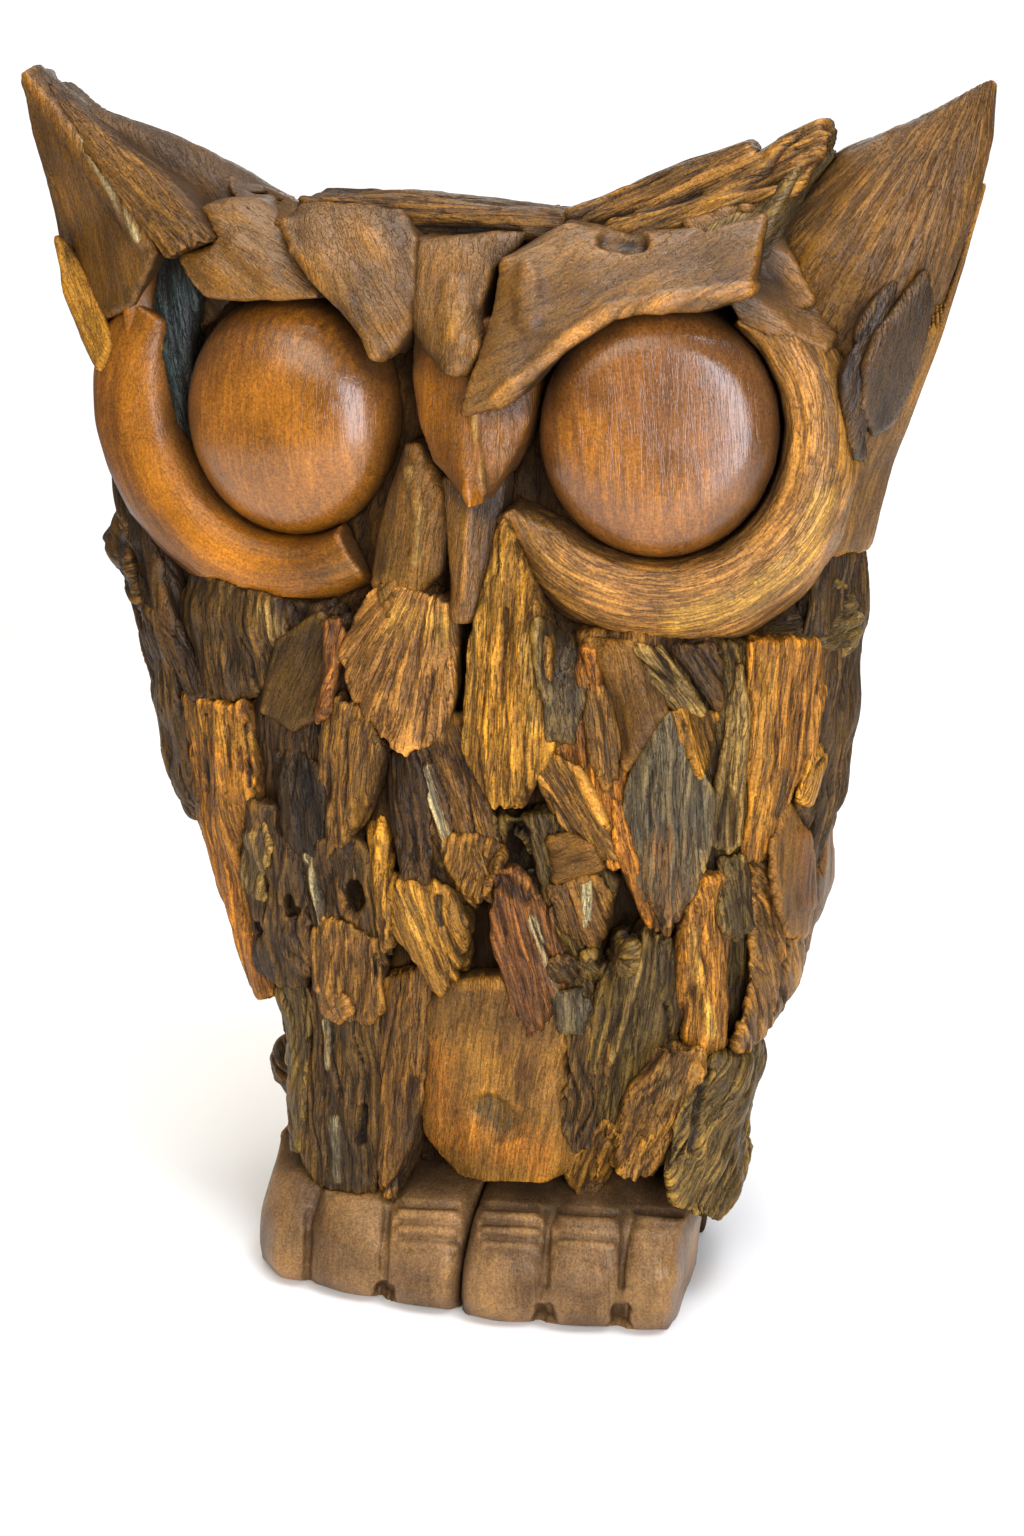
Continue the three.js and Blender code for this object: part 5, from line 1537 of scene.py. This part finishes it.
class OWL_OT_feet(bpy.types.Operator):
    """Dress the two foot blocks"""

    bl_idname = "owl.feet"
    bl_label = "Feet"

    def execute(self, context):
        dress(("left_foot", "right_foot"), context.scene.owl_sizes.front_step)
        return {"FINISHED"}


class OWL_OT_small_chips(bpy.types.Operator):
    """Add the small chips wedged between the larger ones"""

    bl_idname = "owl.small_chips"
    bl_label = "Small chips"

    def execute(self, context):
        add_slivers(tuple(SLIVERS), context.scene.owl_sizes.front_step)
        return {"FINISHED"}


class OWL_OT_hollows(bpy.types.Operator):
    """Paint shade, with dust and old varnish, into the hollows between all pieces"""

    bl_idname = "owl.hollows"
    bl_label = "Dark hollows"

    def execute(self, context):
        paint_shade_and_dust_in_hollows()
        return {"FINISHED"}


class OWL_OT_stage(bpy.types.Operator):
    """Lay the pale floor and set the soft lights and the camera"""

    bl_idname = "owl.stage"
    bl_label = "Floor, lights and camera"

    def execute(self, context):
        deselect_all()
        bpy.ops.mesh.primitive_circle_add(vertices=96, radius=FLOOR_RADIUS, fill_type="NGON")
        floor = context.object
        floor.name = floor.data.name = "pale_floor"
        floor.data.materials.append(painted_board())
        for name, settings in LIGHTS.items():
            soft_box(name, *settings)
        world = bpy.data.worlds.new("studio")
        world.use_nodes = True
        tree = world.node_tree
        tree.nodes.clear()
        to_lens = add(tree, "ShaderNodeLightPath").outputs["Is Camera Ray"]
        strength = add(tree, "ShaderNodeMapRange", {
            "Value": to_lens, "To Min": WORLD_ON_OWL, "To Max": WORLD_BEHIND_OWL,
        })
        background = add(tree, "ShaderNodeBackground", {
            "Color": (1, 1, 1, 1), "Strength": strength.outputs["Result"],
        })
        add(tree, "ShaderNodeOutputWorld", {"Surface": background.outputs["Background"]})
        context.scene.world = world
        context.scene.view_settings.view_transform = "Standard"
        lens = bpy.data.cameras.new("photo_camera")
        lens.lens = LENS_MM
        lens.sensor_width = SENSOR_MM
        lens.clip_start, lens.clip_end = 0.05, 100
        camera = bpy.data.objects.new("photo_camera", lens)
        camera.matrix_world = CAMERA_MATRIX
        context.scene.collection.objects.link(camera)
        context.scene.camera = camera
        return {"FINISHED"}


class OWL_PT_owl(bpy.types.Panel):
    """All parts of the owl, in the order in which they are made"""

    bl_label = "Carved wooden owl"
    bl_idname = "OWL_PT_owl"
    bl_space_type = "VIEW_3D"
    bl_region_type = "UI"
    bl_category = "Owl"

    def draw(self, context):
        layout = self.layout
        for group in (context.scene.owl_sizes, context.scene.owl_finish, context.scene.owl_stains):
            for name in group.__class__.__annotations__:
                layout.prop(group, name)
        for operator in OPERATORS:
            layout.operator(operator.bl_idname)


OPERATORS = (
    OWL_OT_log, OWL_OT_horns, OWL_OT_brows, OWL_OT_eyes, OWL_OT_rims, OWL_OT_beak,
    OWL_OT_left_roots, OWL_OT_middle_roots, OWL_OT_right_roots, OWL_OT_back_staves,
    OWL_OT_feet, OWL_OT_small_chips, OWL_OT_hollows, OWL_OT_stage,
)
CLASSES = (OwlSizes, OwlFinish, OwlStains, *OPERATORS, OWL_PT_owl)


def register():
    for kind in CLASSES:
        bpy.utils.register_class(kind)
    bpy.types.Scene.owl_sizes = PointerProperty(type=OwlSizes)
    bpy.types.Scene.owl_finish = PointerProperty(type=OwlFinish)
    bpy.types.Scene.owl_stains = PointerProperty(type=OwlStains)


def unregister():
    del bpy.types.Scene.owl_stains
    del bpy.types.Scene.owl_finish
    del bpy.types.Scene.owl_sizes
    for kind in reversed(CLASSES):
        bpy.utils.unregister_class(kind)


def main():
    register()
    bpy.ops.owl.log()
    bpy.ops.owl.horns()
    bpy.ops.owl.brows()
    bpy.ops.owl.eyes()
    bpy.ops.owl.rims()
    bpy.ops.owl.beak()
    bpy.ops.owl.left_roots()
    bpy.ops.owl.middle_roots()
    bpy.ops.owl.right_roots()
    bpy.ops.owl.back_staves()
    bpy.ops.owl.feet()
    bpy.ops.owl.small_chips()
    bpy.ops.owl.hollows()
    bpy.ops.owl.stage()


if __name__ == "__main__":
    main()
